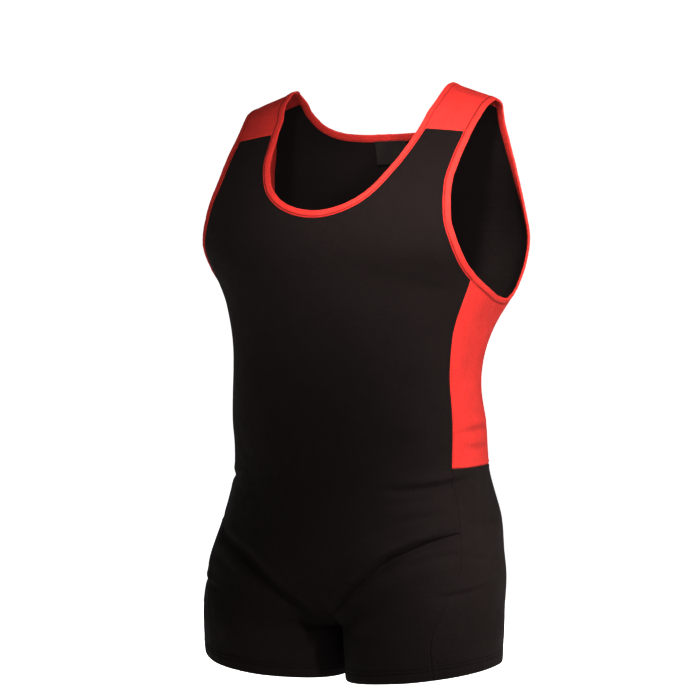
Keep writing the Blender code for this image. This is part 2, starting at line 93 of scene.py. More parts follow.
NECK = (
    ("front", 0.0000, -0.1705),
    ("front", 0.0290, -0.1662),
    ("front", 0.0535, -0.1562),
    ("front", 0.0745, -0.1392),
    ("front", 0.0905, -0.1155),
    ("front", 0.1005, -0.0890),
    ("front", 0.1075, -0.0610),
    ("front", 0.1130, -0.0350),
    ("front", 0.1172, -0.0140),
    ("front", 0.1190, -0.0030),
    ("back", 0.1170, -0.0140),
    ("back", 0.1137, -0.0290),
    ("back", 0.1010, -0.0450),
    ("back", 0.0790, -0.0575),
    ("back", 0.0450, -0.0635),
    ("back", 0.0000, -0.0645),
)
NECK_FRONT_SEAM = 6
NECK_BACK_SEAM = 10
ARMHOLE = (
    ("front", 0.1575, -0.0675),
    ("front", 0.1558, -0.1030),
    ("side", -0.1210, -0.1290),
    ("side", -0.1340, -0.1560),
    ("side", -0.1390, -0.1810),
    ("side", -0.1340, -0.2040),
    ("side", -0.1180, -0.2250),
    ("side", -0.0885, -0.2465),
    ("side", -0.0500, -0.2640),
    ("side", -0.0120, -0.2735),
    ("side", 0.0240, -0.2740),
    ("side", 0.0470, -0.2600),
    ("side", 0.0600, -0.2380),
    ("side", 0.0660, -0.2120),
    ("side", 0.0660, -0.1800),
    ("side", 0.0540, -0.1400),
    ("back", 0.1715, -0.1050),
    ("back", 0.1650, -0.0750),
    ("back", 0.1610, -0.0480),
    ("back", 0.1620, -0.0300),
    ("back", 0.1630, -0.0200),
    ("front", 0.1622, -0.0290),
    ("front", 0.1600, -0.0460),
    ("front", 0.1575, -0.0675),
)
ARMHOLE_PANEL_FRONT = 7
ARMHOLE_PANEL_BACK = 11
ARMHOLE_BACK_SEAM = 19

SIDE_SEAM = (
    (-0.2465, 25.4),
    (-0.2730, 25.3),
    (-0.3100, 24.5),
    (-0.3420, 23.6),
    (-0.3730, 22.8),
    (-0.4210, 22.6),
    (-0.4730, 23.8),
    (-0.5130, 25.0),
    (-0.5490, 27.0),
    (-0.5790, 29.3),
    (-0.6100, 30.2),
    (-0.6600, 29.6),
    (-0.7100, 28.4),
    (-0.7450, 28.0),
)
PANEL_BOTTOM = -0.473
PANEL_BACK_TURN = -30.0
V_SEAM = (
    (90.0, -0.6250),
    (84.0, -0.6205),
    (75.8, -0.6060),
    (68.7, -0.5915),
    (63.0, -0.5805),
    (54.0, -0.5700),
    (45.5, -0.5595),
    (36.5, -0.5530),
    (27.0, -0.5490),
)
HEM_LEVEL = -0.7245
HEM_RISE = 0.0125
HEM_TILT = 0.0030

# Folds of the solids: turn and level where each starts and where it ends, its depth, half its width
FOLDS = (
    (14.0, -0.481, 60.0, -0.497, 0.0024, 0.012),
    (86.0, -0.624, 58.0, -0.579, 0.0034, 0.012),
    (66.0, -0.590, 34.0, -0.557, 0.0030, 0.011),
    (-8.0, -0.538, 27.0, -0.533, 0.0016, 0.012),
    (-20.0, -0.572, 24.0, -0.586, 0.0016, 0.012),
    (6.0, -0.606, 40.0, -0.622, 0.0016, 0.013),
    (-30.0, -0.486, -70.0, -0.512, 0.0020, 0.014),
    (-24.0, -0.622, -64.0, -0.640, 0.0026, 0.013),
    (70.0, -0.236, 36.0, -0.258, 0.0018, 0.014),
)
FOLD_FREE_TURN = 12.0
FOLD_ENDS = 0.02
LABEL_WIDTH = 0.044
LABEL_DEPTH = 0.030
LABEL_TOP = -0.0670

# Creases given one by one: the half they are on (1 left, -1 right), the turn and the level where each
# starts and where it ends, how far its middle bows, its depth and half its width, all lengths in
# millimetres, and the share of its depth that heaps up beside it
CREASES = (
    # Across the hip under the red panel
    (1, 2, -480, 63, -499.5, -4, 5.6, 5, 0.45),
    (1, 22, -504, 62, -518, 4, 1.9, 4.6, 0.5),
    (1, 29, -527, 60, -540, 4, 1.4, 4.4, 0.5),
    (-1, 2, -479, 50, -490, -5, 2.2, 5, 0.45),
    (-1, 26, -502, 66, -513, 3, 1.2, 5.6, 0.4),
    # The crease of the groin, which the V seam lies in on the left half and over on the right
    (1, 88, -625, 55, -571, 2, 7.8, 5, 0.28),
    (1, 70, -593, 29, -549, 6, 6.4, 4.6, 0.35),
    (1, 58, -589, 22, -574, 5, 2.2, 4.6, 0.5),
    (1, 50, -608, 26, -593, 4, 1.1, 5, 0.45),
    (-1, 87, -630, 55, -578, 3, 6, 6.6, 0.2),
    (-1, 70, -600, 32, -558, 6, 4.4, 6, 0.25),
    (-1, 56, -604, 28, -585, 4, 1.2, 6, 0.4),
    # Short creases on the outer thigh
    (1, -12, -541, 25, -539, 2, 2.4, 3.8, 0.5),
    (1, -14, -593, 24, -579, 3, 2, 4, 0.45),
    (1, 0, -608, 38, -622, -2, 2.8, 3.6, 0.5),
    (1, -6, -650, 20, -656, 3, 0.7, 5.5, 0.35),
    (-1, -4, -533, 30, -542, -2, 1.6, 4.4, 0.45),
    (-1, -16, -580, 22, -576, 3, 0.9, 4.6, 0.45),
    (-1, 8, -614, 42, -627, -3, 1.8, 4.2, 0.5),
    # Drag lines from the underarm to the chest, and soft ones at the strap
    (1, 34, -248, 62, -229, 6, 0.7, 7, 0.45),
    (1, 32, -264, 54, -260, 5, 0.6, 6.5, 0.45),
    (1, 44, -208, 62, -185, 4, 0.4, 6, 0.4),
    (-1, 32, -252, 58, -235, 6, 0.7, 7, 0.45),
    (-1, 30, -270, 56, -273, 4, 0.5, 6.5, 0.45),
    (-1, 44, -203, 60, -180, 4, 0.4, 6, 0.4),
    # Waist, on the front and the red panels
    (1, -26, -429, 21, -432, 2, 2.4, 4.8, 0.5),
    (1, -24, -450, 19, -448, -2, 1.8, 4.2, 0.45),
    (1, -22, -354, 14, -350, 3, 0.5, 6.5, 0.45),
    (1, 30, -438, 66, -448, 4, 0.5, 8.5, 0.35),
    (-1, -24, -434, 17, -428, 2, 1.6, 5, 0.5),
    (-1, -20, -360, 18, -362, -2, 0.5, 6.5, 0.45),
    (-1, 28, -444, 60, -440, -4, 0.5, 8.5, 0.35),
    # Small of the back, seat and back of the thigh
    (1, -78, -346, -38, -356, 4, 1.2, 8, 0.5),
    (1, -74, -376, -34, -369, -4, 1, 7.5, 0.45),
    (1, -80, -404, -46, -402, 3, 0.7, 8, 0.4),
    (-1, -76, -351, -34, -348, -4, 1.2, 8, 0.5),
    (-1, -79, -380, -40, -379, 3, 0.9, 7.5, 0.45),
    (-1, -70, -410, -38, -405, -3, 0.7, 8.5, 0.4),
    (1, -32, -488, -66, -506, -4, 1.3, 6, 0.5),
    (-1, -28, -485, -72, -510, 4, 1.3, 6, 0.5),
    (1, -26, -622, -62, -640, 6, 1.6, 6.5, 0.5),
    (-1, -22, -625, -66, -639, 5, 1.5, 6.5, 0.5),
    (1, -30, -644, -56, -658, 4, 0.8, 6, 0.45),
    (-1, -34, -648, -60, -660, 3, 0.8, 6, 0.45),
    (1, -44, -150, -62, -120, 4, 0.5, 7.5, 0.4),
    (-1, -42, -156, -64, -125, 4, 0.5, 7.5, 0.4),
    (1, -34, -250, -60, -233, -4, 0.9, 7, 0.45),
    (-1, -36, -245, -62, -240, -4, 0.9, 7, 0.45),
)
MM = 0.001
CREASE_SCALE = 0.0028
CREASE_POINTS = 25
CREASE_REACH = 6
CREASE_FADE = 0.8
# Place and width of the heap, in half widths of its crease
HEAP_AT = 1.75
HEAP_WIDTH = 1.15

# Slow unevenness of filled cloth: waves a metre along the turn and the level, their phase and height
SWELLS = (
    (9.0, 5.0, 0.3, 0.00040),
    (-6.0, 11.0, 1.9, 0.00035),
    (14.0, -8.0, 4.1, 0.00025),
    (4.0, 17.0, 2.6, 0.00020),
    (23.0, 13.0, 5.2, 0.00012),
)
SWELL_SHIFT = 2.1

# Grid spacing, and the closer rows beside a seam and at a hem
STEP = 0.0029
SEAM_ROWS = (0.0005, 0.0010, 0.0016, 0.0024, 0.0034, 0.0050, 0.0072)
HEM_ROWS = (0.0006, 0.0014, 0.0028, 0.0052, 0.0082, 0.0106, 0.0114, 0.0120, 0.0126, 0.0134, 0.0148, 0.0158,
            0.0165, 0.0172, 0.0178, 0.0186, 0.0200)
HEM_SLACK = 0.0003

# Points on the lines that the pieces share
HIP_POINTS = 60
PANEL_POINTS = 140
PANEL_STEPS = 120
BAND_POINTS = 20
OUTER_LEG_POINTS = 120
INNER_LEG_POINTS = 160

# Seams: the groove where two pieces meet, the swelling of the seam allowance beside it, its puckers
GROOVE_DEPTH = 0.0007
GROOVE_WIDTH = 0.0011
LIP_HEIGHT = 0.0004
LIP_AT = 0.0026
LIP_WIDTH = 0.0020
OVERLAP_STEP = 0.0003
SIDE_SEAM_SHARE = 0.5
PUCKER_HEIGHT = 0.00022
PUCKER_START = 0.0018
PUCKER_REACH = 0.0075
PUCKER_END = 0.02
PUCKER_LENGTHS = (0.0065, 0.0092, 0.0137, 0.0231)
PUCKER_VARIES = 0.15
TUCK = 0.0013

# Hems: two rows of stitches, the turned cloth a little proud, and waves by height, place and width
HEM_STITCHES = (0.0120, 0.0165)
HEM_STITCH_GROOVE = 0.0007
HEM_PROUD = 0.00035
HEM_PROUD_END = 0.0012
HEM_WAVES = (0.00035, 0.010, 0.011)

# What each kind of edge does to the cloth beside it: its share of the puckers, then the height, the
# place and the width of each of its bells. At the V seam the front lies over the thigh
EDGE_SHAPES = {
    "seam": (1.0, (LIP_HEIGHT, LIP_AT, LIP_WIDTH), (-GROOVE_DEPTH, 0.0, GROOVE_WIDTH)),
    "over": (1.0, (1.35 * LIP_HEIGHT, 0.8 * LIP_AT, LIP_WIDTH), (-GROOVE_DEPTH - OVERLAP_STEP, 0.0, 0.0009)),
    "under": (
        1.0,
        (-0.55 * GROOVE_DEPTH, 0.0, 0.0045),
        (-0.45 * GROOVE_DEPTH - OVERLAP_STEP, 0.0, GROOVE_WIDTH),
    ),
    "bound": (1.5, (-0.0002, 0.0, 0.0022)),
    "hem": (
        0.0,
        (-0.0007, 0.0, 0.0009),
        *((-HEM_STITCH_GROOVE, at, 0.0007) for at in HEM_STITCHES),
    ),
}

# Bindings: the sewn edge and the stitches, counted across from the cloth's edge towards the opening, how
# far the round of the fold reaches, and the step along the strip
BINDING_NEAR = -0.0009
BINDING_STITCH = 0.0014
BINDING_FOLD = 0.0016
BINDING_STEP = 0.0011
# Heights over the cloth, outside and inside: of the sewn edge, of the crest, of the dip at the stitches
BINDING_FACES = {1: (-0.0004, 0.0011, -0.00085), -1: (-0.0011, -0.0023, 0.00035)}
BINDING_RISE = 0.0005
BINDING_FLATNESS = 0.28
DIP_WIDTH = 0.00085
PUFF = 0.00010
PUFF_WIDTH = 0.0013
BINDING_RIPPLE = 0.00022
RIPPLE_START = 0.35
BINDING_SWAY = 0.00030
SWAY_STRETCH = 0.45
# The ripples die out this near to where the strip's ends meet
MEETING = 0.012
# Points across each face, closer together at the sewn edge, and round the fold
FACE_POINTS = 15
FACE_SPACING = 1.15
BEND_POINTS = 7

# Stitches: thread a little flattened, sunk at both ends
STITCH_PITCH = 0.0030
STITCH_LENGTH = 0.0024
THREAD_RADIUS = 0.00024
THREAD_FLATNESS = 1.25
BINDING_STITCH_PROUD = 0.00012
HEM_STITCH_PROUD = 0.00008
HEM_LINE_POINTS = 900

# Seeds of the ripples, to which 1 or -1 is added for the half
SEEDS = {"front": 20, "thigh": 30, "lower back": 40, "upper back": 50, "side": 60, "shoulder": 70}
BINDING_SEED = 80

SECTION = dict(zip(SECTION_COLUMNS, np.array(SECTIONS[::-1]).T))
LOWEST, HIGHEST = SECTION["level"][[0, -1]]
TURN_STEP = 0.5
LEVEL_STEP = 0.0015


def eased(part):
    """0 to 1 along a smooth S: 3p^2 - 2p^3."""
    part = np.clip(part, 0.0, 1.0)
    return part * part * (3 - 2 * part)


def bell(away):
    """A bell curve: e to the power of minus the square."""
    return np.exp(-(away**2))


def unit(vectors):
    """Vectors along the last axis, made one long."""
    return vectors / np.linalg.norm(vectors, axis=-1, keepdims=True)


def curve_at(at, places, values):
    """Value at a place on the smooth curve through a table: cubic Hermite with central slopes."""
    places, values = np.asarray(places, float), np.asarray(values, float)
    at = np.clip(at, places[0], places[-1])
    slopes = np.gradient(values, places)
    i = np.clip(np.searchsorted(places, at, side="right") - 1, 0, len(places) - 2)
    step = places[i + 1] - places[i]
    f = (at - places[i]) / step
    return (
        (1 + 2 * f) * (1 - f) ** 2 * values[i]
        + f * (1 - f) ** 2 * step * slopes[i]
        + f * f * (3 - 2 * f) * values[i + 1]
        + f * f * (f - 1) * step * slopes[i + 1]
    )


def section(name, level):
    return curve_at(level, SECTION["level"], SECTION[name])


def body(turn, level):
    """Point on the one tube: a squared-off ellipse, with its own depth and squareness front and back."""
    a = np.radians(turn)
    front = turn >= 0
    square = np.where(front, section("front_square", level), section("back_square", level))
    side_y = section("side_y", level)
    depth = np.where(front, side_y - section("front_y", level), section("back_y", level) - side_y)
    reach = (np.abs(np.cos(a)) ** square + np.abs(np.sin(a)) ** square) ** (-1 / square)
    return section("side_x", level) * reach * np.cos(a), side_y - depth * reach * np.sin(a)


def leg(turn, level):
    """Point on a leg: the turn is doubled, so that it runs right round from the inner seam to itself."""
    a = np.radians(2 * turn)
    side_x, gap, side_y = (section(name, level) for name in ("side_x", "leg_gap", "side_y"))
    front_y, back_y = section("front_y", level), section("back_y", level)
    middle_y = (front_y + back_y) / 2
    outward = (1 + np.cos(a)) / 2
    x = gap + (side_x - gap) * outward
    return x, middle_y + (side_y - middle_y) * outward - (back_y - front_y) / 2 * np.sin(a)


def form(turn, level):
    """Point on the form's left half: the tube blends into the leg, and the middle dips to the crotch."""
    turn, level = np.broadcast_arrays(np.asarray(turn, float), np.asarray(level, float))
    one_tube = eased((level - FORK_END) / (FORK_TOP - FORK_END))
    body_x, body_y = body(turn, level)
    leg_x, leg_y = leg(turn, level)
    x = one_tube * body_x + (1 - one_tube) * leg_x
    y = one_tube * body_y + (1 - one_tube) * leg_y
    rise = CROTCH_Z + (FORK_TOP - CROTCH_Z) * (1 - np.sqrt(1 - one_tube**2))
    below = CROTCH_Z + (level - FORK_END) * (INNER_HEM_Z - CROTCH_Z) / (INNER_HEM_LEVEL - FORK_END)
    middle = np.where(level > FORK_TOP, level, np.where(level > FORK_END, rise, below))
    near_middle = eased((np.abs(turn) - CENTRE_FROM_TURN) / (90 - CENTRE_FROM_TURN))
    return np.stack([x, y, level + near_middle * (middle - level)], axis=-1)


def facing(turn, level):
    """Unit normal of the form, pointing out."""
    turn, level = np.broadcast_arrays(np.asarray(turn, float), np.asarray(level, float))
    above, below = np.minimum(level + LEVEL_STEP, HIGHEST), np.maximum(level - LEVEL_STEP, LOWEST)
    up = form(turn, above) - form(turn, below)
    behind, ahead = np.maximum(turn - TURN_STEP, -90.0), np.minimum(turn + TURN_STEP, 90.0)
    return unit(np.cross(form(behind, level) - form(ahead, level), up))


def fold_depth(turn, level):
    """How far the folds of the solids sink the cloth: bell-shaped troughs along lines, fading at the ends."""
    total = np.zeros(np.broadcast(turn, level).shape)
    here = form(turn, level)
    for turn_a, level_a, turn_b, level_b, depth, half_width in FOLDS:
        start = form(turn_a, level_a)
        along = form(turn_b, level_b) - start
        part = np.clip((here - start) @ along / (along @ along), 0.0, 1.0)
        away = np.linalg.norm(here - start - part[..., None] * along, axis=-1)
        fade = np.sqrt(np.sin(np.pi * np.clip(part, FOLD_ENDS, 1 - FOLD_ENDS)))
        total += depth * fade * bell(away / half_width)
    return total


def crease_depth(turn, level, half):
    """How far the fine creases sink the cloth of one half.

    Each crease is an arc in the plane of turn and level, with a degree as CREASE_SCALE metres. Across
    it lies a bell-shaped trough with a lower, wider bell of heaped cloth above it, and both fade as a
    sine towards its ends.
    """
    total = np.zeros(np.broadcast(turn, level).shape)
    here = np.stack(np.broadcast_arrays(turn * CREASE_SCALE, level), axis=-1)
    share = np.linspace(0.0, 1.0, CREASE_POINTS)
    for crease_half, turn_a, level_a, turn_b, level_b, *sizes, heap in CREASES:
        if crease_half != half:
            continue
        bow, depth, half_width = np.array(sizes) * MM
        start = np.array([turn_a * CREASE_SCALE, level_a * MM])
        run = np.array([turn_b * CREASE_SCALE, level_b * MM]) - start
        length = np.linalg.norm(run)
        up = np.array([-run[1], run[0]]) / length * np.sign(run[0])
        arc = start + share[:, None] * run + (bow * np.sin(np.pi * share))[:, None] * up
        near = np.abs(here - (start + run / 2)).max(axis=-1) < length / 2 + CREASE_REACH * half_width
        if not near.any():
            continue
        off = here[near][:, None] - arc
        nearest = (off**2).sum(axis=-1).argmin(axis=1)
        off = off[np.arange(len(nearest)), nearest]
        way = unit(np.gradient(arc, axis=0)[nearest])
        part = share[nearest] + (off * way).sum(axis=1) / length
        rise = (off * np.stack([-way[:, 1], way[:, 0]], axis=-1)).sum(axis=1) * np.sign(run[0])
        across = rise / half_width
        fade = np.sin(np.pi * np.clip(part, 0.0, 1.0)) ** CREASE_FADE
        total[near] += depth * fade * (bell(across) - heap * bell((across - HEAP_AT) / HEAP_WIDTH))
    return total


def swell(turn, level, half):
    """Slow unevenness: a sum of slanting sine waves, other ones on the other half."""
    waves = np.zeros(np.broadcast(turn, level).shape)
    for across, along, phase, height in SWELLS:
        angle = 2 * np.pi * (across * turn * CREASE_SCALE + along * level) + phase + SWELL_SHIFT * half
        waves = waves + height * np.sin(angle)
    return waves


def cloth(turn, level, half, relief=0.0):
    """Outer surface: the form with its folds and creases and a relief added; x = 0 on the centre line."""
    free = eased((90 - np.abs(turn)) / FOLD_FREE_TURN)
    height = free * (swell(turn, level, half) - fold_depth(turn, level) - crease_depth(turn, level, half))
    points = form(turn, level) + (height + relief)[..., None] * facing(turn, level)
    return points * (half, 1.0, 1.0)


def on_form(drawing, across, level):
    """Point of the form at a place in a front, back or side drawing: of the shares of half width and
    depth, each raised to the squareness, the sum is 1, and the drawing gives one of the two."""
    side_x, side_y = section("side_x", level), section("side_y", level)
    front = drawing == "front" or (drawing == "side" and across < side_y)
    square = section("front_square" if front else "back_square", level)
    depth = side_y - section("front_y", level) if front else section("back_y", level) - side_y
    if drawing == "side":
        y_share = min(abs(across - side_y) / depth, 1.0)
        x_share = (1 - y_share**square) ** (1 / square)
    else:
        x_share = min(across / side_x, 1.0)
        y_share = (1 - x_share**square) ** (1 / square)
    return np.array([side_x * x_share, side_y - depth * y_share * (1 if front else -1), level])


def turn_at(points):
    """(turn, level) of points on the tube: the turn is the angle of the shares of half width and depth."""
    level = np.minimum(points[:, 2], HIGHEST)
    side_x, side_y = section("side_x", level), section("side_y", level)
    forward = side_y - points[:, 1]
    depth = np.where(forward >= 0, side_y - section("front_y", level), section("back_y", level) - side_y)
    return np.stack([np.degrees(np.arctan2(forward / depth, points[:, 0] / side_x)), level], axis=-1)


def chord_places(points):
    """Distance from the first point, along the straight lines between points."""
    return np.concatenate([[0.0], np.cumsum(np.linalg.norm(np.diff(points, axis=0), axis=1))])


def read_at(at, places, values, by=np.interp):
    """A table of values read between its rows, each column by itself."""
    return np.stack([by(at, places, column) for column in values.T], axis=-1)


def along_edge(points, first, last, steps=160):
    """(turn, level) along the smooth curve through an edge's points, from one of them to another."""
    places = chord_places(points)
    at = np.linspace(places[first], places[last], steps + 1)
    return turn_at(read_at(at, places, points, curve_at))


def along_seam(rows, steps=160):
    """(turn, level) along the smooth curve through a seam's rows."""
    rows = np.array(rows)
    places = chord_places(form(rows[:, 0], rows[:, 1]))
    at = np.linspace(0.0, places[-1], steps + 1)
    return read_at(at, places, rows, curve_at)


def straight(start, end, steps=60):
    return np.linspace(start, end, steps + 1)


def side_seam(levels):
    """(turn, level) on the side seam at these levels."""
    rows = np.array(SIDE_SEAM[::-1])
    return np.stack([curve_at(levels, rows[:, 0], rows[:, 1]), levels], axis=-1)


def hem_level(turn):
    a = np.radians(2 * np.asarray(turn, float))
    return HEM_LEVEL + HEM_RISE * np.cos(a) - HEM_TILT * np.sin(a)


def hem_line(start, end, steps=120):
    turns = np.linspace(start, end, steps + 1)
    return np.stack([turns, hem_level(turns)], axis=-1)


def length_of(line):
    return chord_places(form(line[:, 0], line[:, 1]))[-1]


class Run:
    """Shares from 0 to 1 along an edge made of stretches, with closer places beside some of its ends.

    Between two breaks the places are even, STEP apart or less. At a break named in fine_after or
    fine_before, the places in rows come first, so that the relief beside a seam has points to show on.
    """

    def __init__(self, stretches, fine_after=(), fine_before=(), rows=SEAM_ROWS):
        lengths = [length_of(stretch) for stretch in stretches]
        places, self.breaks, start = [np.zeros(1)], [0.0], 0.0
        for k, length in enumerate(lengths):
            low = np.array(rows) if k in fine_after else np.zeros(0)
            high = length - np.array(SEAM_ROWS)[::-1] if k + 1 in fine_before else np.zeros(0)
            inner_low = low[-1] if len(low) else 0.0
            inner_high = high[0] if len(high) else length
            count = max(2, math.ceil((inner_high - inner_low) / STEP))
            even = np.linspace(inner_low, inner_high, count + 1)[1:-1]
            places.append(start + np.concatenate([low, even, high, [length]]))
            start += length
            self.breaks.append(start)
        self.shares = np.concatenate(places) / start
        self.breaks = np.array(self.breaks) / start

    def of(self, stretches):
        """(turn, level) at the shares of an edge made of as many stretches."""
        line = []
        for k, stretch in enumerate(stretches):
            last = k == len(stretches) - 1
            low, high = self.breaks[k], self.breaks[k + 1]
            inside = (self.shares >= low - 1e-9) & (self.shares <= high + (1e-9 if last else -1e-9))
            part = (self.shares[inside] - low) / (high - low)
            places = chord_places(form(stretch[:, 0], stretch[:, 1]))
            line.append(read_at(part * places[-1], places, stretch))
        return np.concatenate(line)

    def tail(self, first):
        """The run from one of its breaks on."""
        rest = copy.copy(self)
        start = self.breaks[first]
        rest.shares = (self.shares[self.shares >= start - 1e-9] - start) / (1 - start)
        rest.breaks = (self.breaks[first:] - start) / (1 - start)
        return rest


def blended(bottom, top, first, last, across, up):
    """Grid of (turn, level) inside four edges: a Coons patch, with its rows running up."""
    u, v = across[None, :, None], up[:, None, None]
    corners = (1 - v) * ((1 - u) * bottom[0] + u * bottom[-1]) + v * ((1 - u) * top[0] + u * top[-1])
    return (1 - v) * bottom + v * top + (1 - u) * first[:, None] + u * last[:, None] - corners


def edge_distances(points):
    """Distance of each grid point from the four edges, along its row or its column."""
    across = np.cumsum(np.linalg.norm(np.diff(points, axis=1, prepend=points[:, :1]), axis=-1), axis=1)
    up = np.cumsum(np.linalg.norm(np.diff(points, axis=0, prepend=points[:1]), axis=-1), axis=0)
    return {"first": across, "last": across[:, -1:] - across, "bottom": up, "top": up[-1:] - up}


def edge_runs(points):
    """Distance along each of the four edges, spread over the grid by row or by column."""
    def spread(line, axis):
        places = chord_places(line)
        return np.broadcast_to(np.expand_dims(places, axis), points.shape[:2])
    return {
        "first": spread(points[:, 0], 1),
        "last": spread(points[:, -1], 1),
        "bottom": spread(points[0], 0),
        "top": spread(points[-1], 0),
    }


def ripples(along, seed):
    """Uneven ripples between -1 and 1 along a line: four sines with seeded lengths and phases."""
    rng = np.random.default_rng(seed)
    count = len(PUCKER_LENGTHS)
    lengths = PUCKER_LENGTHS * rng.uniform(1 - PUCKER_VARIES, 1 + PUCKER_VARIES, count)
    phases = rng.uniform(0.0, 2 * np.pi, count)
    return sum(np.sin(2 * np.pi * along / long + phase) for long, phase in zip(lengths, phases)) / count


def seam_relief(points, seams, seed):
    """Relief beside the edges of a panel.

    Beside each edge lie the bells of EDGE_SHAPES, such as the groove of a seam and the lip of its
    allowance, and puckers that start a little way from it and die out. A hem has its turned cloth,
    which ends at a soft step, and waves of its own.
    """
    far, along = edge_distances(points), edge_runs(points)
    relief = np.zeros(points.shape[:2])
    for k, (edge, kind, where) in enumerate(seams):
        away = far[edge]
        waves = ripples(along[edge], seed + 11 * k) * eased(along[edge] / PUCKER_END)
        pucker_share, *bells = EDGE_SHAPES[kind]
        start = 1 - bell(away / PUCKER_START)
        shape = pucker_share * PUCKER_HEIGHT * waves * start * np.exp(-away / PUCKER_REACH)
        shape = shape + sum(height * bell((away - at) / width) for height, at, width in bells)
        if kind == "hem":
            height, at, width = HEM_WAVES
            shape = shape + HEM_PROUD * (1 - eased((away - HEM_DEPTH) / HEM_PROUD_END))
            shape = shape + height * waves * bell((away - at) / width)
        relief = relief + where * shape
    return relief


def grown(points, growth):
    """The grid with edges moved outward along the cloth, to tuck them under a binding."""
    points = points.copy()
    for edge, by in growth.items():
        line, inside = {
            "bottom": (points[0], points[1]),
            "top": (points[-1], points[-2]),
            "first": (points[:, 0], points[:, 1]),
            "last": (points[:, -1], points[:, -2]),
        }[edge]
        outward = line - inside
        outward /= np.maximum(np.linalg.norm(outward, axis=1, keepdims=True), 1e-9)
        line += np.asarray(by).reshape(-1, 1) * outward
    return points


def grid_faces(rows, columns, closed=False):
    """Four-cornered faces of a grid whose points are numbered row by row; a closed one goes round."""
    corner = np.arange(rows * columns).reshape(rows, columns)
    after = np.roll(corner, -1, axis=0)
    if not closed:
        corner, after = corner[:-1], after[:-1]
    return np.stack([corner[:, :-1], corner[:, 1:], after[:, 1:], after[:, :-1]], axis=-1).reshape(-1, 4)


def faces_out(points, faces, out):
    """The faces turned so that their normals point out."""
    flat, out = points.reshape(-1, 3), out.reshape(-1, 3)
    normal = np.cross(flat[faces[:, 1]] - flat[faces[:, 0]], flat[faces[:, 3]] - flat[faces[:, 0]])
    return faces if (normal * out[faces[:, 0]]).sum() > 0 else faces[:, ::-1]


def add_object(name, data):
    """An object in the scene, for a mesh, a light or a camera."""
    obj = bpy.data.objects.new(name, data)
    bpy.context.scene.collection.objects.link(obj)
    return obj


def new_object(name, points, faces, material, uv=None, corner_uv=None):
    """A smooth mesh object at the origin, from whole arrays of points, quads and cloth coordinates.

    The cloth coordinates are given by point, or by corner of each face where they go round a tube.
    """
    used = np.unique(faces)
    renumber = np.full(len(points), -1)
    renumber[used] = np.arange(len(used))
    points, faces = points[used], renumber[faces]
    mesh = bpy.data.meshes.new(name)
    mesh.vertices.add(len(points))
    mesh.vertices.foreach_set("co", points.astype(np.float32).ravel())
    mesh.loops.add(faces.size)
    mesh.loops.foreach_set("vertex_index", faces.astype(np.int32).ravel())
    mesh.polygons.add(len(faces))
    mesh.polygons.foreach_set("loop_start", np.arange(0, faces.size, faces.shape[1], dtype=np.int32))
    if uv is not None:
        corner_uv = uv[used][faces.ravel()]
    if corner_uv is not None:
        layer = mesh.uv_layers.new(name="cloth")
        layer.data.foreach_set("uv", corner_uv.astype(np.float32).ravel())
    mesh.update(calc_edges=True)
    mesh.validate()
    mesh.shade_smooth()
    mesh.materials.append(material)
    return add_object(name, mesh)


# Arc lengths round the form, and up it at one turn, so that the knit runs straight up each piece
ARC_UP_TURN = 45.0
ARC_TURNS = np.linspace(-90.0, 90.0, 181)
ARC_LEVELS = np.linspace(LOWEST, HIGHEST, 261)
ARC_POINTS = form(ARC_TURNS[None, :], ARC_LEVELS[:, None])
ARC_ROUND = np.cumsum(np.linalg.norm(np.diff(ARC_POINTS, axis=1, prepend=ARC_POINTS[:, :1]), axis=-1), axis=1)
ARC_UP = chord_places(form(np.full(len(ARC_LEVELS), ARC_UP_TURN), ARC_LEVELS))


def arc_round(turn, level):
    """Metres round the form from the centre back to a turn, read from the table of arc lengths."""
    column = (turn + 90) / 180 * (len(ARC_TURNS) - 1)
    row = (level - LOWEST) / (HIGHEST - LOWEST) * (len(ARC_LEVELS) - 1)
    i = np.clip(row.astype(int), 0, len(ARC_LEVELS) - 2)
    j = np.clip(column.astype(int), 0, len(ARC_TURNS) - 2)
    r, c = row - i, column - j
    return (
        (1 - r) * ((1 - c) * ARC_ROUND[i, j] + c * ARC_ROUND[i, j + 1])
        + r * ((1 - c) * ARC_ROUND[i + 1, j] + c * ARC_ROUND[i + 1, j + 1])
    )


def knit_places(turn, level, from_turn):
    """Metres round the form from a turn, and up it."""
    round_it = np.abs(arc_round(turn, level) - arc_round(np.full_like(turn, from_turn), level))
    return np.stack([round_it, np.interp(level, ARC_LEVELS, ARC_UP)], axis=-1)


def add_wall(obj, thickness=CLOTH, hem_points=None):
    """The wall inside the outer surface, thicker at a turned hem."""
    wall = obj.modifiers.new("Wall", "SOLIDIFY")
    wall.offset = -1.0
    wall.use_quality_normals = True
    wall.thickness = thickness
    if hem_points:
        hem = obj.vertex_groups.new(name="Hem")
        hem.add(hem_points, 1.0, "REPLACE")
        wall.vertex_group = hem.name
        wall.thickness = HEM_CLOTH
        wall.thickness_vertex_group = thickness / HEM_CLOTH


def knit_surface(grid, seams, half, kind, from_turn):
    """Points of one half of a panel, its knit places and its normals, from its grid and its seams."""
    turn, level = grid[..., 0], grid[..., 1]
    relief = seam_relief(form(turn, level), seams, SEEDS[kind] + half)
    tucked = {edge: TUCK * np.ravel(where) for edge, bound, where in seams if bound == "bound"}
    points = grown(cloth(turn, level, half, relief), tucked)
    return points, knit_places(turn, level, from_turn) * (half, 1.0), facing(turn, level) * (half, 1.0, 1.0)


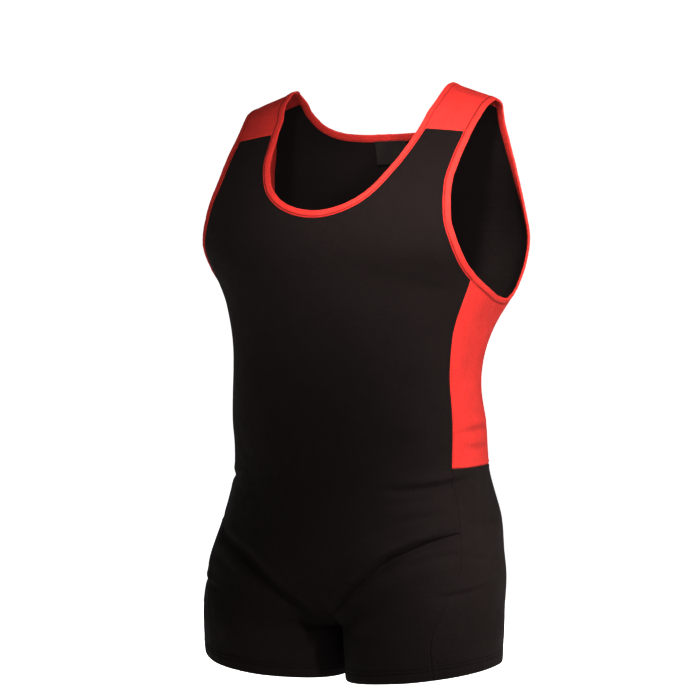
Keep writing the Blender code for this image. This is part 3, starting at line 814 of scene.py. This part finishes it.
def add_panel(name, halves, material, missing=None, hem_rows=0):
    """A cut piece from one or two halves of a grid; a second half is joined at the centre line."""
    points, uv, out = halves[0]
    if len(halves) == 2:
        points, uv, out = (np.concatenate([other[:, :0:-1], one], axis=1) for one, other in zip(*halves))
    rows, columns = points.shape[:2]
    faces = grid_faces(rows, columns)
    if missing is not None:
        faces = faces[~missing.reshape(-1)[faces].any(axis=1)]
    faces = faces_out(points, faces, out)
    piece = new_object(name, points.reshape(-1, 3), faces, material, uv.reshape(-1, 2))
    add_wall(piece, hem_points=list(range(hem_rows * columns)))
    return piece


def respaced(levels, start, end):
    """Levels from start to end, spaced like the given ones."""
    return start + (levels - levels[0]) / (levels[-1] - levels[0]) * (end - start)


def on_line(turn, levels):
    return np.stack([np.full(len(levels), float(turn)), levels], axis=-1)


def before(shares, at, soft=0.012):
    """1 before a share and 0 after it, with a soft change."""
    return 1 - eased((shares - at) / soft + 0.5)


# Lines that the pieces share
neck = np.array([on_form(*row) for row in NECK])
armhole = np.array([on_form(*row) for row in ARMHOLE])
# One point past each centre line, so that the neck's curve runs level through it
past_centre = neck[[1, -2]] * (-1.0, 1.0, 1.0)
whole_neck = np.concatenate([past_centre[:1], neck, past_centre[1:]])
neck_front = along_edge(whole_neck, 1, NECK_FRONT_SEAM + 1)
neck_strap = along_edge(whole_neck, NECK_FRONT_SEAM + 1, NECK_BACK_SEAM + 1)
neck_back = along_edge(whole_neck, NECK_BACK_SEAM + 1, len(neck))
arm_front = along_edge(armhole, 0, ARMHOLE_PANEL_FRONT)
arm_under = along_edge(armhole, ARMHOLE_PANEL_FRONT, ARMHOLE_PANEL_BACK)
arm_back = along_edge(armhole, ARMHOLE_PANEL_BACK, ARMHOLE_BACK_SEAM)
arm_strap = along_edge(armhole, ARMHOLE_BACK_SEAM, len(armhole) - 1)
front_shoulder_seam = straight(neck_front[-1], arm_front[0])
back_shoulder_seam = straight(arm_back[-1], neck_back[0])
v_seam = along_seam(V_SEAM)
V_END = V_SEAM[-1][1]
V_POINT = V_SEAM[0][1]
hip_seam = side_seam(np.linspace(V_END, PANEL_BOTTOM, HIP_POINTS))
panel_front_seam = side_seam(np.linspace(PANEL_BOTTOM, armhole[ARMHOLE_PANEL_FRONT, 2], PANEL_POINTS))
panel_front_seam[-1] = arm_front[-1]
panel_back_seam = straight((PANEL_BACK_TURN, PANEL_BOTTOM), arm_under[-1], PANEL_STEPS)
panel_bottom_seam = straight(panel_front_seam[0], panel_back_seam[0])
waist = straight(panel_back_seam[0], (-90.0, PANEL_BOTTOM), PANEL_STEPS)
OUTER_TURN = side_seam(np.array([hem_level(SIDE_SEAM[-1][1])]))[0, 0]
OUTER_HEM, INNER_HEM = float(hem_level(OUTER_TURN)), float(hem_level(90.0))
# The grids are even in a band over the hem, which the inner seam's heights stretch
HEM_BAND = 0.022
INNER_STRETCH = (INNER_HEM_Z - CROTCH_Z) / (INNER_HEM_LEVEL - FORK_END)
# Where the grids turn the corner of the V seam and of the waist, and how softly one kind of edge takes
# over from another at a binding and at the side panel, in shares of the edge
V_CORNER = 0.786
WAIST_CORNER = 30
BOUND_SOFT = 0.02
PANEL_SOFT = 0.004
leg_outer = (
    side_seam(np.linspace(OUTER_HEM, OUTER_HEM + HEM_BAND, BAND_POINTS)),
    side_seam(np.linspace(OUTER_HEM + HEM_BAND, V_END, OUTER_LEG_POINTS)),
)
inner_levels = (
    np.linspace(INNER_HEM, INNER_HEM + HEM_BAND / INNER_STRETCH, BAND_POINTS),
    np.linspace(INNER_HEM + HEM_BAND / INNER_STRETCH, V_POINT, INNER_LEG_POINTS),
)


def front_cut():
    """Front: its grid runs from the centre line out to the side, and up from the V seam to the shoulder."""
    corner = round(V_CORNER * (len(v_seam) - 1))
    bottom = [v_seam[: corner + 1], v_seam[corner:]]
    across = Run(bottom, fine_before=(2,))
    side_parts = [hip_seam, panel_front_seam, arm_front[::-1]]
    up = Run(side_parts, fine_after=(0,), fine_before=(3,))
    side = up.of(side_parts)
    centre = on_line(90.0, respaced(side[:, 1], V_POINT, neck[0, 2]))
    top = across.of([neck_front, front_shoulder_seam])
    grid = blended(across.of(bottom), top, centre, side, across.shares, up.shares)
    sewn = before(up.shares, up.breaks[2])[:, None]
    bound = before(across.shares, across.breaks[1], BOUND_SOFT)[None, :]
    sides = (("last", "seam", sewn), ("last", "bound", 1 - sewn))
    return grid, (("bottom", "over", 1.0), *sides, ("top", "bound", bound), ("top", "seam", 1 - bound))


def thigh_cut():
    """Front of a leg: from the inner seam out to the side seam, and up from the hem to the V seam."""
    across = Run([v_seam], fine_after=(0,), fine_before=(1,))
    up = Run(leg_outer, fine_after=(0,), fine_before=(2,), rows=HEM_ROWS)
    inner = up.of([on_line(90.0, levels) for levels in inner_levels])
    hem = across.of([hem_line(90.0, OUTER_TURN)])
    grid = blended(hem, across.of([v_seam]), inner, up.of(leg_outer), across.shares, up.shares)
    sides = (("first", "seam", 1.0), ("last", "seam", SIDE_SEAM_SHARE))
    return grid, (("bottom", "hem", 1.0), ("top", "under", 1.0), *sides)


def back_cuts():
    """Back: below the side panel from the side seam, above it from the panel's back seam, to the centre."""
    waist_parts = [panel_bottom_seam, waist[: WAIST_CORNER + 1], waist[WAIST_CORNER:]]
    across = Run(waist_parts, fine_after=(0, 1), fine_before=(1, 3))
    outer_parts = [*leg_outer, hip_seam]
    up = Run(outer_parts, fine_after=(0,), fine_before=(3,), rows=HEM_ROWS)
    hip_levels = np.linspace(V_POINT, PANEL_BOTTOM, HIP_POINTS)
    inner = up.of([on_line(-90.0, levels) for levels in (*inner_levels, hip_levels)])
    hem = hem_line(OUTER_TURN, -90.0)
    cuts = np.interp(across.breaks, np.linspace(0, 1, len(hem)), np.arange(len(hem))).round().astype(int)
    hem = across.of([hem[a : b + 1] for a, b in zip(cuts[:-1], cuts[1:])])
    lower = blended(hem, across.of(waist_parts), up.of(outer_parts), inner, across.shares, up.shares)
    under_panel = before(across.shares, across.breaks[1], PANEL_SOFT)[None, :]
    sides = (("first", "seam", SIDE_SEAM_SHARE), ("last", "seam", 1.0))
    lower_seams = (("bottom", "hem", 1.0), ("top", "seam", under_panel), *sides)
    tail = across.tail(1)
    up = Run([panel_back_seam, arm_back], fine_before=(2,))
    outer = up.of([panel_back_seam, arm_back])
    inner = on_line(-90.0, respaced(outer[:, 1], PANEL_BOTTOM, neck[-1, 2]))
    top = tail.of([back_shoulder_seam, neck_back])
    upper = blended(tail.of(waist_parts[1:]), top, outer, inner, tail.shares, up.shares)
    sewn = before(up.shares, up.breaks[1])[:, None]
    bound = 1 - before(tail.shares, tail.breaks[1], BOUND_SOFT)[None, :]
    sides = (("first", "seam", sewn), ("first", "bound", 1 - sewn))
    upper_seams = (*sides, ("top", "bound", bound), ("top", "seam", 1 - bound), ("last", "seam", 1.0))
    return (lower, lower_seams), (upper, upper_seams)


def back_half(half):
    """The two grids of a back half as one, with the place of the side panel marked as missing."""
    kinds = ("lower back", "upper back")
    low, high = (knit_surface(*cut, half, kind, -90.0) for cut, kind in zip(back_cuts(), kinds))
    skipped = low[0].shape[1] - high[0].shape[1]
    joined = []
    for a, b in zip(low, high):
        empty = np.repeat(b[1:, :1], skipped, axis=1)
        joined.append(np.concatenate([a, np.concatenate([empty, b[1:]], axis=1)]))
    missing = np.zeros(joined[0].shape[:2], bool)
    missing[len(low[0]):, :skipped] = True
    return tuple(joined), missing


def four_sided_cut(bottom, top, first, last, side_kind, top_kind):
    """A piece with one seam or bound edge on each side; its bottom is a seam."""
    across = Run([bottom], fine_after=(0,), fine_before=(1,))
    up = Run([first], fine_after=(0,), fine_before=(1,))
    sides = (across.of([bottom]), across.of([top]), up.of([first]), up.of([last]))
    kinds = {"bottom": "seam", "top": top_kind, "first": side_kind, "last": side_kind}
    return blended(*sides, across.shares, up.shares), [(edge, kind, 1.0) for edge, kind in kinds.items()]


def neck_line():
    """Points and normals along the cloth edge of the neck: the left half, and the right half back again."""
    line = np.concatenate([neck_front[:-1], neck_strap[:-1], neck_back])
    turn, level = line[:, 0], line[:, 1]
    out = facing(turn, level)
    points = np.concatenate([cloth(turn, level, 1), cloth(turn, level, -1)[-2:0:-1]])
    return evenly(points, np.concatenate([out, (out * (-1.0, 1.0, 1.0))[-2:0:-1]]))


def armhole_line(half):
    line = np.concatenate([stretch[:-1] for stretch in (arm_front, arm_under, arm_back, arm_strap)])
    turn, level = line[:, 0], line[:, 1]
    return evenly(cloth(turn, level, half), facing(turn, level) * (half, 1.0, 1.0))


def evenly(points, out):
    """The closed line at steps of about BINDING_STEP, its corners smoothed over a few steps."""
    both = np.concatenate([points, out], axis=1)
    both = np.concatenate([both, both[:1]])
    places = chord_places(both[:, :3])
    count = round(places[-1] / BINDING_STEP)
    at = np.linspace(0.0, places[-1], count, endpoint=False)
    line = read_at(at, places, both)
    for _ in range(4):
        line = (np.roll(line, 1, axis=0) + 2 * line + np.roll(line, -1, axis=0)) / 4
    return line[:, :3], unit(line[:, 3:])


def frames_of(points, out):
    """Along, inward and out directions at each point of a closed line round an opening."""
    run = unit(np.roll(points, -1, axis=0) - np.roll(points, 1, axis=0))
    inward = unit(np.cross(out, run))
    if (inward * (points.mean(axis=0) - points)).sum() < 0:
        inward = -inward
    return run, inward, out


def binding_face(across, along, pitch, waves, face):
    """Height of a binding's face over the cloth edge's surface.

    Outside, a low dome that falls to the cloth at the sewn edge, with a dip at the row of stitches, a
    slight puff between stitches, and ripples along it. Inside, the same shape the other way up.
    """
    base, crest, dip = BINDING_FACES[face]
    share = (across - BINDING_NEAR) / (BINDING_WIDTH - BINDING_NEAR)
    rise = 1 - np.exp(-(across - BINDING_NEAR) / BINDING_RISE)
    dome = 1 - BINDING_FLATNESS * (2 * share - 1) ** 4
    off = across - BINDING_STITCH
    puff = face * PUFF * np.cos(2 * np.pi * along / pitch) * bell(off / PUFF_WIDTH)
    ripple = BINDING_RIPPLE * waves * eased(share / RIPPLE_START)
    return base + (crest - base) * rise * dome + dip * bell(off / DIP_WIDTH) + puff + ripple


def add_binding(name, points, out, material, seed):
    """A folded strip carried round the closed cloth edge: outer face, fold at the opening, inner face."""
    inward = frames_of(points, out)[1]
    long = len(points) * BINDING_STEP
    along = np.arange(len(points)) * BINDING_STEP
    pitch = long / round(long / STITCH_PITCH)
    meet = 1 - bell(np.minimum(along, long - along) / MEETING)
    waves, sway = ripples(along, seed) * meet, ripples(along * SWAY_STRETCH, seed + 1) * meet
    fold_at = BINDING_WIDTH - BINDING_FOLD
    flat = BINDING_NEAR + (fold_at - BINDING_NEAR) * np.linspace(0, 1, FACE_POINTS) ** FACE_SPACING
    around = np.radians(np.linspace(90, -90, BEND_POINTS + 2))[1:-1]
    top = binding_face(flat[None, :], along[:, None], pitch, waves[:, None], 1)
    under = binding_face(flat[None, ::-1], along[:, None], pitch, waves[:, None], -1)
    middle, half_thick = (top[:, -1:] + under[:, :1]) / 2, (top[:, -1:] - under[:, :1]) / 2
    fold_out = fold_at + (BINDING_FOLD + BINDING_SWAY * sway[:, None]) * np.cos(around)
    rows = np.ones((len(points), 1))
    across = np.concatenate([flat * rows, fold_out, flat[::-1] * rows], axis=1)
    high = np.concatenate([top, middle + half_thick * np.sin(around), under], axis=1)
    mesh_points = points[:, None] + across[..., None] * inward[:, None] + high[..., None] * out[:, None]
    count, width = across.shape
    faces = grid_faces(count, width, closed=True)
    v = chord_places(np.stack([across[0], high[0]], axis=-1))
    u_here, u_next = along[:, None, None], along[:, None, None] + BINDING_STEP
    u = np.broadcast_to(np.concatenate([u_here, u_here, u_next, u_next], axis=-1), (count, width - 1, 4))
    v = np.broadcast_to(np.stack([v[:-1], v[1:], v[1:], v[:-1]], axis=-1), (count, width - 1, 4))
    outer_face = (np.arange(width) < len(flat)).astype(float) - (np.arange(width) >= width - len(flat))
    turned = faces_out(mesh_points, faces, outer_face[None, :, None] * out[:, None])
    uv = np.stack([u, v], axis=-1).reshape(-1, 4, 2)
    if turned is not faces:
        uv = uv[:, ::-1]
    return new_object(name, mesh_points.reshape(-1, 3), turned, material, corner_uv=uv)


# A stitch: rings of six points at these shares of its length, how thick and how high each is in radii
STITCH_RINGS = ((-0.50, 0.45, -0.9), (-0.28, 1.0, 0.0), (0.28, 1.0, 0.0), (0.50, 0.45, -0.9))
RING_POINTS = 6


def stitch_mesh(name, rows, material):
    """Rows of stitches as one mesh: each is a short rounded thread with its ends sunk into the cloth."""
    centres, ways, outs = (np.concatenate(parts) for parts in zip(*rows))
    ways = unit(ways)
    outs = unit(outs - (outs * ways).sum(axis=1, keepdims=True) * ways)
    ring = np.radians(np.arange(RING_POINTS) * 360.0 / RING_POINTS)
    place, thick, lift = np.array(STITCH_RINGS).T[..., None]
    along = place * STITCH_LENGTH + 0 * ring
    side = THREAD_RADIUS * thick * np.cos(ring) * THREAD_FLATNESS
    high = THREAD_RADIUS * (thick * np.sin(ring) + lift)
    local = np.stack([along, side, high], axis=-1).reshape(-1, 3)
    points = centres[:, None] + local @ np.stack([ways, np.cross(outs, ways), outs], axis=1)
    corner = np.arange(len(local)).reshape(len(STITCH_RINGS), RING_POINTS)
    after = np.roll(corner, -1, axis=1)
    tube = np.stack([corner[:-1], after[:-1], after[1:], corner[1:]], axis=-1).reshape(-1, 4)
    first, last = corner[0], corner[-1]
    caps = np.array([first[[0, 5, 4, 3]], first[[0, 3, 2, 1]], last[[0, 1, 2, 3]], last[[0, 3, 4, 5]]])
    faces = faces_out(local, np.concatenate([tube, caps]), local * (0.4, 1.0, 1.0))
    all_faces = faces[None] + len(local) * np.arange(len(centres))[:, None, None]
    return new_object(name, points.reshape(-1, 3), all_faces.reshape(-1, 4), material)


def binding_stitches(name, points, out, material):
    """The row of stitches along a binding, outside and inside."""
    long = len(points) * BINDING_STEP
    count = round(long / STITCH_PITCH)
    along = (np.arange(count) + 0.5) * long / count
    place = along / BINDING_STEP
    low = place.astype(int) % len(points)
    part = (place - place.astype(int))[:, None]
    base, way, into, face = (
        values[low] * (1 - part) + values[(low + 1) % len(points)] * part
        for values in (points, *frames_of(points, out))
    )
    rows = []
    for side in (1, -1):
        high = binding_face(BINDING_STITCH, along, long / count, 0.0, side) + side * BINDING_STITCH_PROUD
        rows.append((base + into * BINDING_STITCH + face * high[:, None], way, face * side))
    return stitch_mesh(name, rows, material)


def hem_stitches(name, half, material):
    """Two rows of stitches round a leg, up from the hem's edge, as a twin needle sews them."""
    rows = []
    turns = np.linspace(90.0, -90.0, HEM_LINE_POINTS)
    for away in HEM_STITCHES:
        level = hem_level(turns)
        rise = np.linalg.norm(form(turns, level + MM) - form(turns, level), axis=1) / MM
        level = level + away / rise
        points = cloth(turns, level, half, np.full(len(turns), HEM_STITCH_PROUD))
        out = facing(turns, level) * (half, 1.0, 1.0)
        places = chord_places(points)
        at = np.arange(STITCH_PITCH, places[-1] - STITCH_PITCH, STITCH_PITCH)
        centres = read_at(at, places, points)
        rows.append((centres, np.gradient(centres, axis=0), read_at(at, places, out)))
    return stitch_mesh(name, rows, material)


def node_maths(tree, operation, *values):
    """A maths node on values that are numbers or sockets; its result."""
    node = tree.nodes.new("ShaderNodeMath")
    node.operation = operation
    for socket, value in zip(node.inputs, values):
        if isinstance(value, (int, float)):
            socket.default_value = value
        else:
            tree.links.new(value, socket)
    return node.outputs[0]


def in_range(tree, value, limits, kind="LINEAR"):
    """A value between two limits, moved to lie between two others; those beyond it stay at its ends."""
    ranged = tree.nodes.new("ShaderNodeMapRange")
    ranged.interpolation_type = kind
    tree.links.new(value, ranged.inputs["Value"])
    for name, limit in zip(("From Min", "From Max", "To Min", "To Max"), limits):
        ranged.inputs[name].default_value = limit
    return ranged.outputs["Result"]


def mottled(tree, scale, detail, low, high):
    """Noise on Object coordinates, as a value from low to high."""
    noise = tree.nodes.new("ShaderNodeTexNoise")
    noise.inputs["Scale"].default_value = scale
    noise.inputs["Detail"].default_value = detail
    tree.links.new(tree.nodes["Place"].outputs["Object"], noise.inputs["Vector"])
    return in_range(tree, noise.outputs["Fac"], (0.3, 0.7, low, high))


def on_cloth(tree):
    """Sockets of the cloth coordinates: metres round or along a piece, and metres up or across it."""
    split = tree.nodes.new("ShaderNodeSeparateXYZ")
    places = tree.nodes.new("ShaderNodeUVMap")
    places.uv_map = "cloth"
    tree.links.new(places.outputs["UV"], split.inputs["Vector"])
    return split.outputs["X"], split.outputs["Y"]


def zigzag(tree, at, length):
    """From 0 to 1 and back in each length."""
    return node_maths(tree, "MULTIPLY", node_maths(tree, "PINGPONG", at, length / 2), 2 / length)


def rounded(tree, value):
    """The sine of a quarter turn times a value."""
    return node_maths(tree, "SINE", node_maths(tree, "MULTIPLY", value, math.pi / 2))


def knit_height(tree, wale, course):
    """Height of the knit from 0 to 1: rounded ribs up the cloth, broken by slanting stitches."""
    round_it, up = on_cloth(tree)
    rib = zigzag(tree, round_it, wale)
    rise = node_maths(tree, "ADD", up, node_maths(tree, "MULTIPLY", rib, course * STITCH_SLANT))
    stitch = node_maths(tree, "MULTIPLY", rounded(tree, zigzag(tree, rise, course)), 1 - RIB_SHARE)
    return node_maths(tree, "MULTIPLY", rounded(tree, rib), node_maths(tree, "ADD", RIB_SHARE, stitch))


def shaded(tree, colour, share):
    """A colour, given as three numbers or a socket, times a value."""
    grey = tree.nodes.new("ShaderNodeCombineColor")
    for socket in grey.inputs[:3]:
        tree.links.new(share, socket)
    mix = tree.nodes.new("ShaderNodeMix")
    mix.data_type = "RGBA"
    mix.blend_type = "MULTIPLY"
    mix.inputs["Factor"].default_value = 1.0
    if isinstance(colour, tuple):
        mix.inputs[6].default_value = (*colour, 1.0)
    else:
        tree.links.new(colour, mix.inputs[6])
    tree.links.new(grey.outputs[0], mix.inputs[7])
    return mix.outputs[2]


def new_material(name, colour, roughness, sheen, sheen_colour, specular):
    """A matt cloth finish: a base colour that varies a little, and a constant sheen."""
    material = bpy.data.materials.new(name)
    material.use_nodes = True
    tree = material.node_tree
    sockets = tree.nodes["Principled BSDF"].inputs
    tree.nodes.new("ShaderNodeTexCoord").name = "Place"
    value = node_maths(tree, "MULTIPLY", mottled(tree, *CLOUDS), mottled(tree, *SPECKS))
    tree.links.new(shaded(tree, colour, value), sockets["Base Color"])
    rough = mottled(tree, *ROUGH_SPOTS, roughness - ROUGHNESS_SPREAD, roughness + ROUGHNESS_SPREAD)
    tree.links.new(rough, sockets["Roughness"])
    sockets["Specular IOR Level"].default_value = specular
    sockets["Sheen Weight"].default_value = sheen
    sockets["Sheen Roughness"].default_value = SHEEN_ROUGHNESS
    sockets["Sheen Tint"].default_value = (*sheen_colour, 1.0)
    return material


def knit_material(name, colour, sheen, sheen_colour, specular, wale, course, depth):
    """A knit finish: the knit's own relief, and softer unevenness of the cloth under it."""
    material = new_material(name, colour, KNIT_ROUGHNESS, sheen, sheen_colour, specular)
    tree = material.node_tree
    bump = tree.nodes.new("ShaderNodeBump")
    bump.inputs["Strength"].default_value = 1.0
    bump.inputs["Distance"].default_value = depth
    height = node_maths(tree, "ADD", knit_height(tree, wale, course), mottled(tree, *UNEVENNESS))
    tree.links.new(height, bump.inputs["Height"])
    tree.links.new(bump.outputs["Normal"], tree.nodes["Principled BSDF"].inputs["Normal"])
    return material


def paint_groove_shade(material, at, half_width, shade):
    """Painted shade: a darker line in a strip's colour for the shadow in the groove that its stitches pull,
    and partly for the thread's darker colour.

    The colour is multiplied by 1 - shade * (1 - s * s), with s the distance across the strip from the
    groove's middle over its half width, and left as it is beyond that.
    """
    tree = material.node_tree
    off = node_maths(tree, "MULTIPLY", node_maths(tree, "SUBTRACT", on_cloth(tree)[1], at), 1 / half_width)
    near = node_maths(tree, "SUBTRACT", 1.0, node_maths(tree, "MULTIPLY", off, off))
    drop = node_maths(tree, "MULTIPLY", node_maths(tree, "MAXIMUM", near, 0.0), shade)
    base = tree.nodes["Principled BSDF"].inputs["Base Color"]
    share = node_maths(tree, "SUBTRACT", 1.0, drop)
    tree.links.new(shaded(tree, base.links[0].from_socket, share), base)


# Colours; noise as its scale, detail, lowest and highest value; knits as wale, course and depth
BLACK = (0.0092, 0.0062, 0.0058)
RED = (0.31, 0.029, 0.0235)
WARM = (1.0, 0.80, 0.68)
RED_SHEEN = (1.0, 0.6, 0.5)
CLOUDS = (60.0, 3.0, 0.95, 1.05)
SPECKS = (620.0, 2.0, 0.84, 1.16)
UNEVENNESS = (210.0, 3.0, 0.0, 1.6)
ROUGH_SPOTS = (90.0, 2.0)
ROUGHNESS_SPREAD = 0.05
KNIT_ROUGHNESS = 0.74
SHEEN_ROUGHNESS = 0.5
CLOTH_KNIT = (0.0011, 0.0009, 0.00022)
BINDING_KNIT = (0.0009, 0.0007, 0.00016)
STITCH_SLANT = 0.8
RIB_SHARE = 0.45
# Across a binding's strip, where painted shade of the stitches' groove (partly the thread's darker colour)
# darkens its colour, over what half width and how much
PAINTED_GROOVE_SHADE = (0.0027, 0.0012, 0.55)

black_knit = knit_material("black_knit", BLACK, 0.012, WARM, 0.06, *CLOTH_KNIT)
red_knit = knit_material("red_knit", RED, 0.01, RED_SHEEN, 0.08, *CLOTH_KNIT)
red_binding = knit_material("red_binding", RED, 0.01, RED_SHEEN, 0.08, *BINDING_KNIT)
# Painted shade along the binding's stitch groove, partly standing in for the thread's darker colour
paint_groove_shade(red_binding, *PAINTED_GROOVE_SHADE)
black_thread = new_material("black_thread", (0.0085, 0.0060, 0.0056), 0.7, 0.01, WARM, 0.05)
red_thread = new_material("red_thread", (0.10, 0.009, 0.008), 0.7, 0.01, (1.0, 0.7, 0.7), 0.05)
label_satin = new_material("label_satin", (0.016, 0.012, 0.011), 0.42, 0.01, WARM, 0.2)


def stands_for(piece, node):
    """The piece rides on the body and takes the place of its CAD node."""
    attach(piece, "root")
    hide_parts(node)
    return piece


HEM_POINT_ROWS = 1 + sum(place < HEM_DEPTH + HEM_SLACK for place in HEM_ROWS)


def add_cut(name, kind, side, halves, slot, **more):
    """A knit panel in place of its CAD node, with the knit of its slot."""
    material = {"black_knit": black_knit, "red_knit": red_knit}[slot]
    piece = stands_for(add_panel(name + side, halves, material, **more), kind + side)


def add_thread(thread):
    """Stitches, which ride on the body."""
    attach(thread, "root")


front_halves = [knit_surface(*front_cut(), half, "front", 90.0) for half in (1, -1)]
add_cut("front_knit", "front_panel", "", front_halves, "black_knit")
panel_sides = (panel_bottom_seam, arm_under, panel_front_seam, panel_back_seam)
strap_sides = (front_shoulder_seam, back_shoulder_seam[::-1], neck_strap, arm_strap[::-1])
side_cut = four_sided_cut(*panel_sides, side_kind="seam", top_kind="bound")
shoulder_cut = four_sided_cut(*strap_sides, side_kind="bound", top_kind="seam")
for side, half in (("_left", 1), ("_right", -1)):
    thigh = knit_surface(*thigh_cut(), half, "thigh", 90.0)
    add_cut("thigh_knit", "thigh_front", side, [thigh], "black_knit", hem_rows=HEM_POINT_ROWS)
    back, missing = back_half(half)
    add_cut("back_knit", "back", side, [back], "black_knit", missing=missing, hem_rows=HEM_POINT_ROWS)
    under_arm = knit_surface(*side_cut, half, "side", 90.0)
    add_cut("side_knit", "side_panel", side, [under_arm], "red_knit")
    strap = knit_surface(*shoulder_cut, half, "shoulder", 90.0)
    add_cut("shoulder_knit", "shoulder_panel", side, [strap], "red_knit")
    add_thread(hem_stitches("hem_stitches" + side, half, black_thread))

edges = {
    "neck_binding": neck_line(),
    "armhole_binding_left": armhole_line(1),
    "armhole_binding_right": armhole_line(-1),
}
for k, (node, (points, out)) in enumerate(edges.items()):
    binding = add_binding(node + "_knit", points, out, red_binding, BINDING_SEED + 3 * k)
    stands_for(binding, node)
    add_thread(binding_stitches(node + "_stitches", points, out, red_thread))

# The label: how far it lies under the cloth's outer face, how far it curls off and waves towards its
# lower edge, and how its sides and its lower end are pressed down
LABEL_CLOTH = 0.0006
LABEL_SEWN_IN = 0.003
LABEL_LIFT = 0.0030
LABEL_CURL = 0.0009
LABEL_CURL_START = 0.25
LABEL_WAVE = 0.0004
LABEL_WAVE_TURN = 210.0
LABEL_WAVE_START = 0.8
LABEL_POINTS = (45, 31)
LABEL_EDGE = 0.0003
LABEL_SIDE_WIDTH = 0.0012
LABEL_END_WIDTH = 0.0014


def label_grid():
    """Points of the label's face inside the back of the neck: a flat strip that curls off the cloth below."""
    top = LABEL_TOP + LABEL_SEWN_IN
    across = np.linspace(-LABEL_WIDTH / 2, LABEL_WIDTH / 2, LABEL_POINTS[0])
    x, level = np.meshgrid(across, np.linspace(top - LABEL_DEPTH, top, LABEL_POINTS[1]))
    drop = (top - level) / LABEL_DEPTH
    mirror = np.stack([np.sign(x + 1e-9), np.ones_like(x), np.ones_like(x)], axis=-1)
    base = np.stack([on_form("back", abs(px), pz) for px, pz in zip(x.ravel(), level.ravel())])
    places = turn_at(base)
    out = facing(places[:, 0], places[:, 1]).reshape(*x.shape, 3) * mirror
    curl = LABEL_CURL * eased((drop - LABEL_CURL_START) / (1 - LABEL_CURL_START))
    wave = LABEL_WAVE * np.sin(x * LABEL_WAVE_TURN + LABEL_WAVE_START) * drop
    side, end = (LABEL_WIDTH / 2 - np.abs(x)) / LABEL_SIDE_WIDTH, (1 - drop) * LABEL_DEPTH / LABEL_END_WIDTH
    lift = LABEL_LIFT + curl + wave - LABEL_EDGE * (bell(side) + bell(end))
    return base.reshape(*x.shape, 3) * mirror - lift[..., None] * out, -out, np.stack([x, level], axis=-1)


points, out, places = label_grid()
faces = faces_out(points, grid_faces(*points.shape[:2]), out)
label = new_object("label_woven", points.reshape(-1, 3), faces, label_satin, places.reshape(-1, 2))
add_wall(label, LABEL_CLOTH)
stands_for(label, "neck_label")


def add_light(name, place, target, size, power, spread):
    """A square area light at a place, turned to a target, its beam as wide as the spread in degrees."""
    data = bpy.data.lights.new(name, "AREA")
    data.shape = "SQUARE"
    data.size = size
    data.energy = power
    data.spread = math.radians(spread)
    light = add_object(name, data)
    light.location = place
    light.rotation_euler = (Vector(target) - Vector(place)).to_track_quat("-Z", "Y").to_euler()


# Stage: a wide white floor, and a sky that is white at the level of the eye and dims higher up
FLOOR_Z = -0.98
FLOOR_REACH = 60
FLOOR_GLOW = 0.78
SKY_WHITE = 1.04
SKY_TOP = 0.20
SKY_DIMS = (0.20, 0.45)
corners = [(x * FLOOR_REACH, y * FLOOR_REACH, FLOOR_Z) for x, y in ((-1, -1), (1, -1), (1, 1), (-1, 1))]
floor_mesh = bpy.data.meshes.new("floor")
floor_mesh.from_pydata(corners, [], [(0, 1, 2, 3)])
paper = bpy.data.materials.new("paper")
paper.use_nodes = True
sockets = paper.node_tree.nodes["Principled BSDF"].inputs
sockets["Base Color"].default_value = (0.9, 0.9, 0.9, 1.0)
sockets["Roughness"].default_value = 0.9
sockets["Emission Color"].default_value = (1.0, 1.0, 1.0, 1.0)
sockets["Emission Strength"].default_value = FLOOR_GLOW
floor_mesh.materials.append(paper)
add_object("floor", floor_mesh)

world = bpy.data.worlds.new("studio")
world.use_nodes = True
sky = world.node_tree
direction = sky.nodes.new("ShaderNodeSeparateXYZ")
sky.links.new(sky.nodes.new("ShaderNodeTexCoord").outputs["Generated"], direction.inputs[0])
brightness = in_range(sky, direction.outputs["Z"], (*SKY_DIMS, SKY_WHITE, SKY_TOP), "SMOOTHSTEP")
sky.nodes["Background"].inputs["Color"].default_value = (1.0, 1.0, 1.0, 1.0)
sky.links.new(brightness, sky.nodes["Background"].inputs["Strength"])
bpy.context.scene.world = world

# Lights: the main one from the wearer's left, one low from behind on the right, and three narrow ones
# on the chest, through the left armhole and on the left hip
MIDDLE = (0.0, -0.03, -0.35)
add_light("key", (2.30, -0.25, 0.40), MIDDLE, 0.5, 48.0, 180.0)
add_light("behind", (-1.20, 2.10, -0.50), MIDDLE, 0.9, 24.0, 180.0)
add_light("chest", (0.55, -1.45, 0.70), (0.08, -0.12, -0.13), 0.25, 1.3, 16.0)
add_light("inner", (1.90, -2.00, 0.10), (0.18, 0.04, -0.15), 0.3, 0.9, 12.0)
add_light("hip", (1.35, -0.75, 0.85), (0.16, -0.09, -0.58), 0.2, 0.65, 11.0)

# The camera: ahead on the wearer's left, level with the lower chest, looking a little down
CAMERA_PLACE = (1.2400, -2.3986, -0.2820)
CAMERA_TURN = 28.0
CAMERA_TILT = 1.08
CAMERA_LENS = 109.3
VIEW_GAMMA = 0.74
camera_data = bpy.data.cameras.new("camera")
camera_data.lens = CAMERA_LENS
camera_data.sensor_width = 36.0
camera = add_object("camera", camera_data)
camera.location = CAMERA_PLACE
camera.rotation_euler = (math.radians(90 - CAMERA_TILT), 0.0, math.radians(CAMERA_TURN))
bpy.context.scene.camera = camera
bpy.context.scene.view_settings.view_transform = "Standard"
bpy.context.scene.view_settings.gamma = VIEW_GAMMA
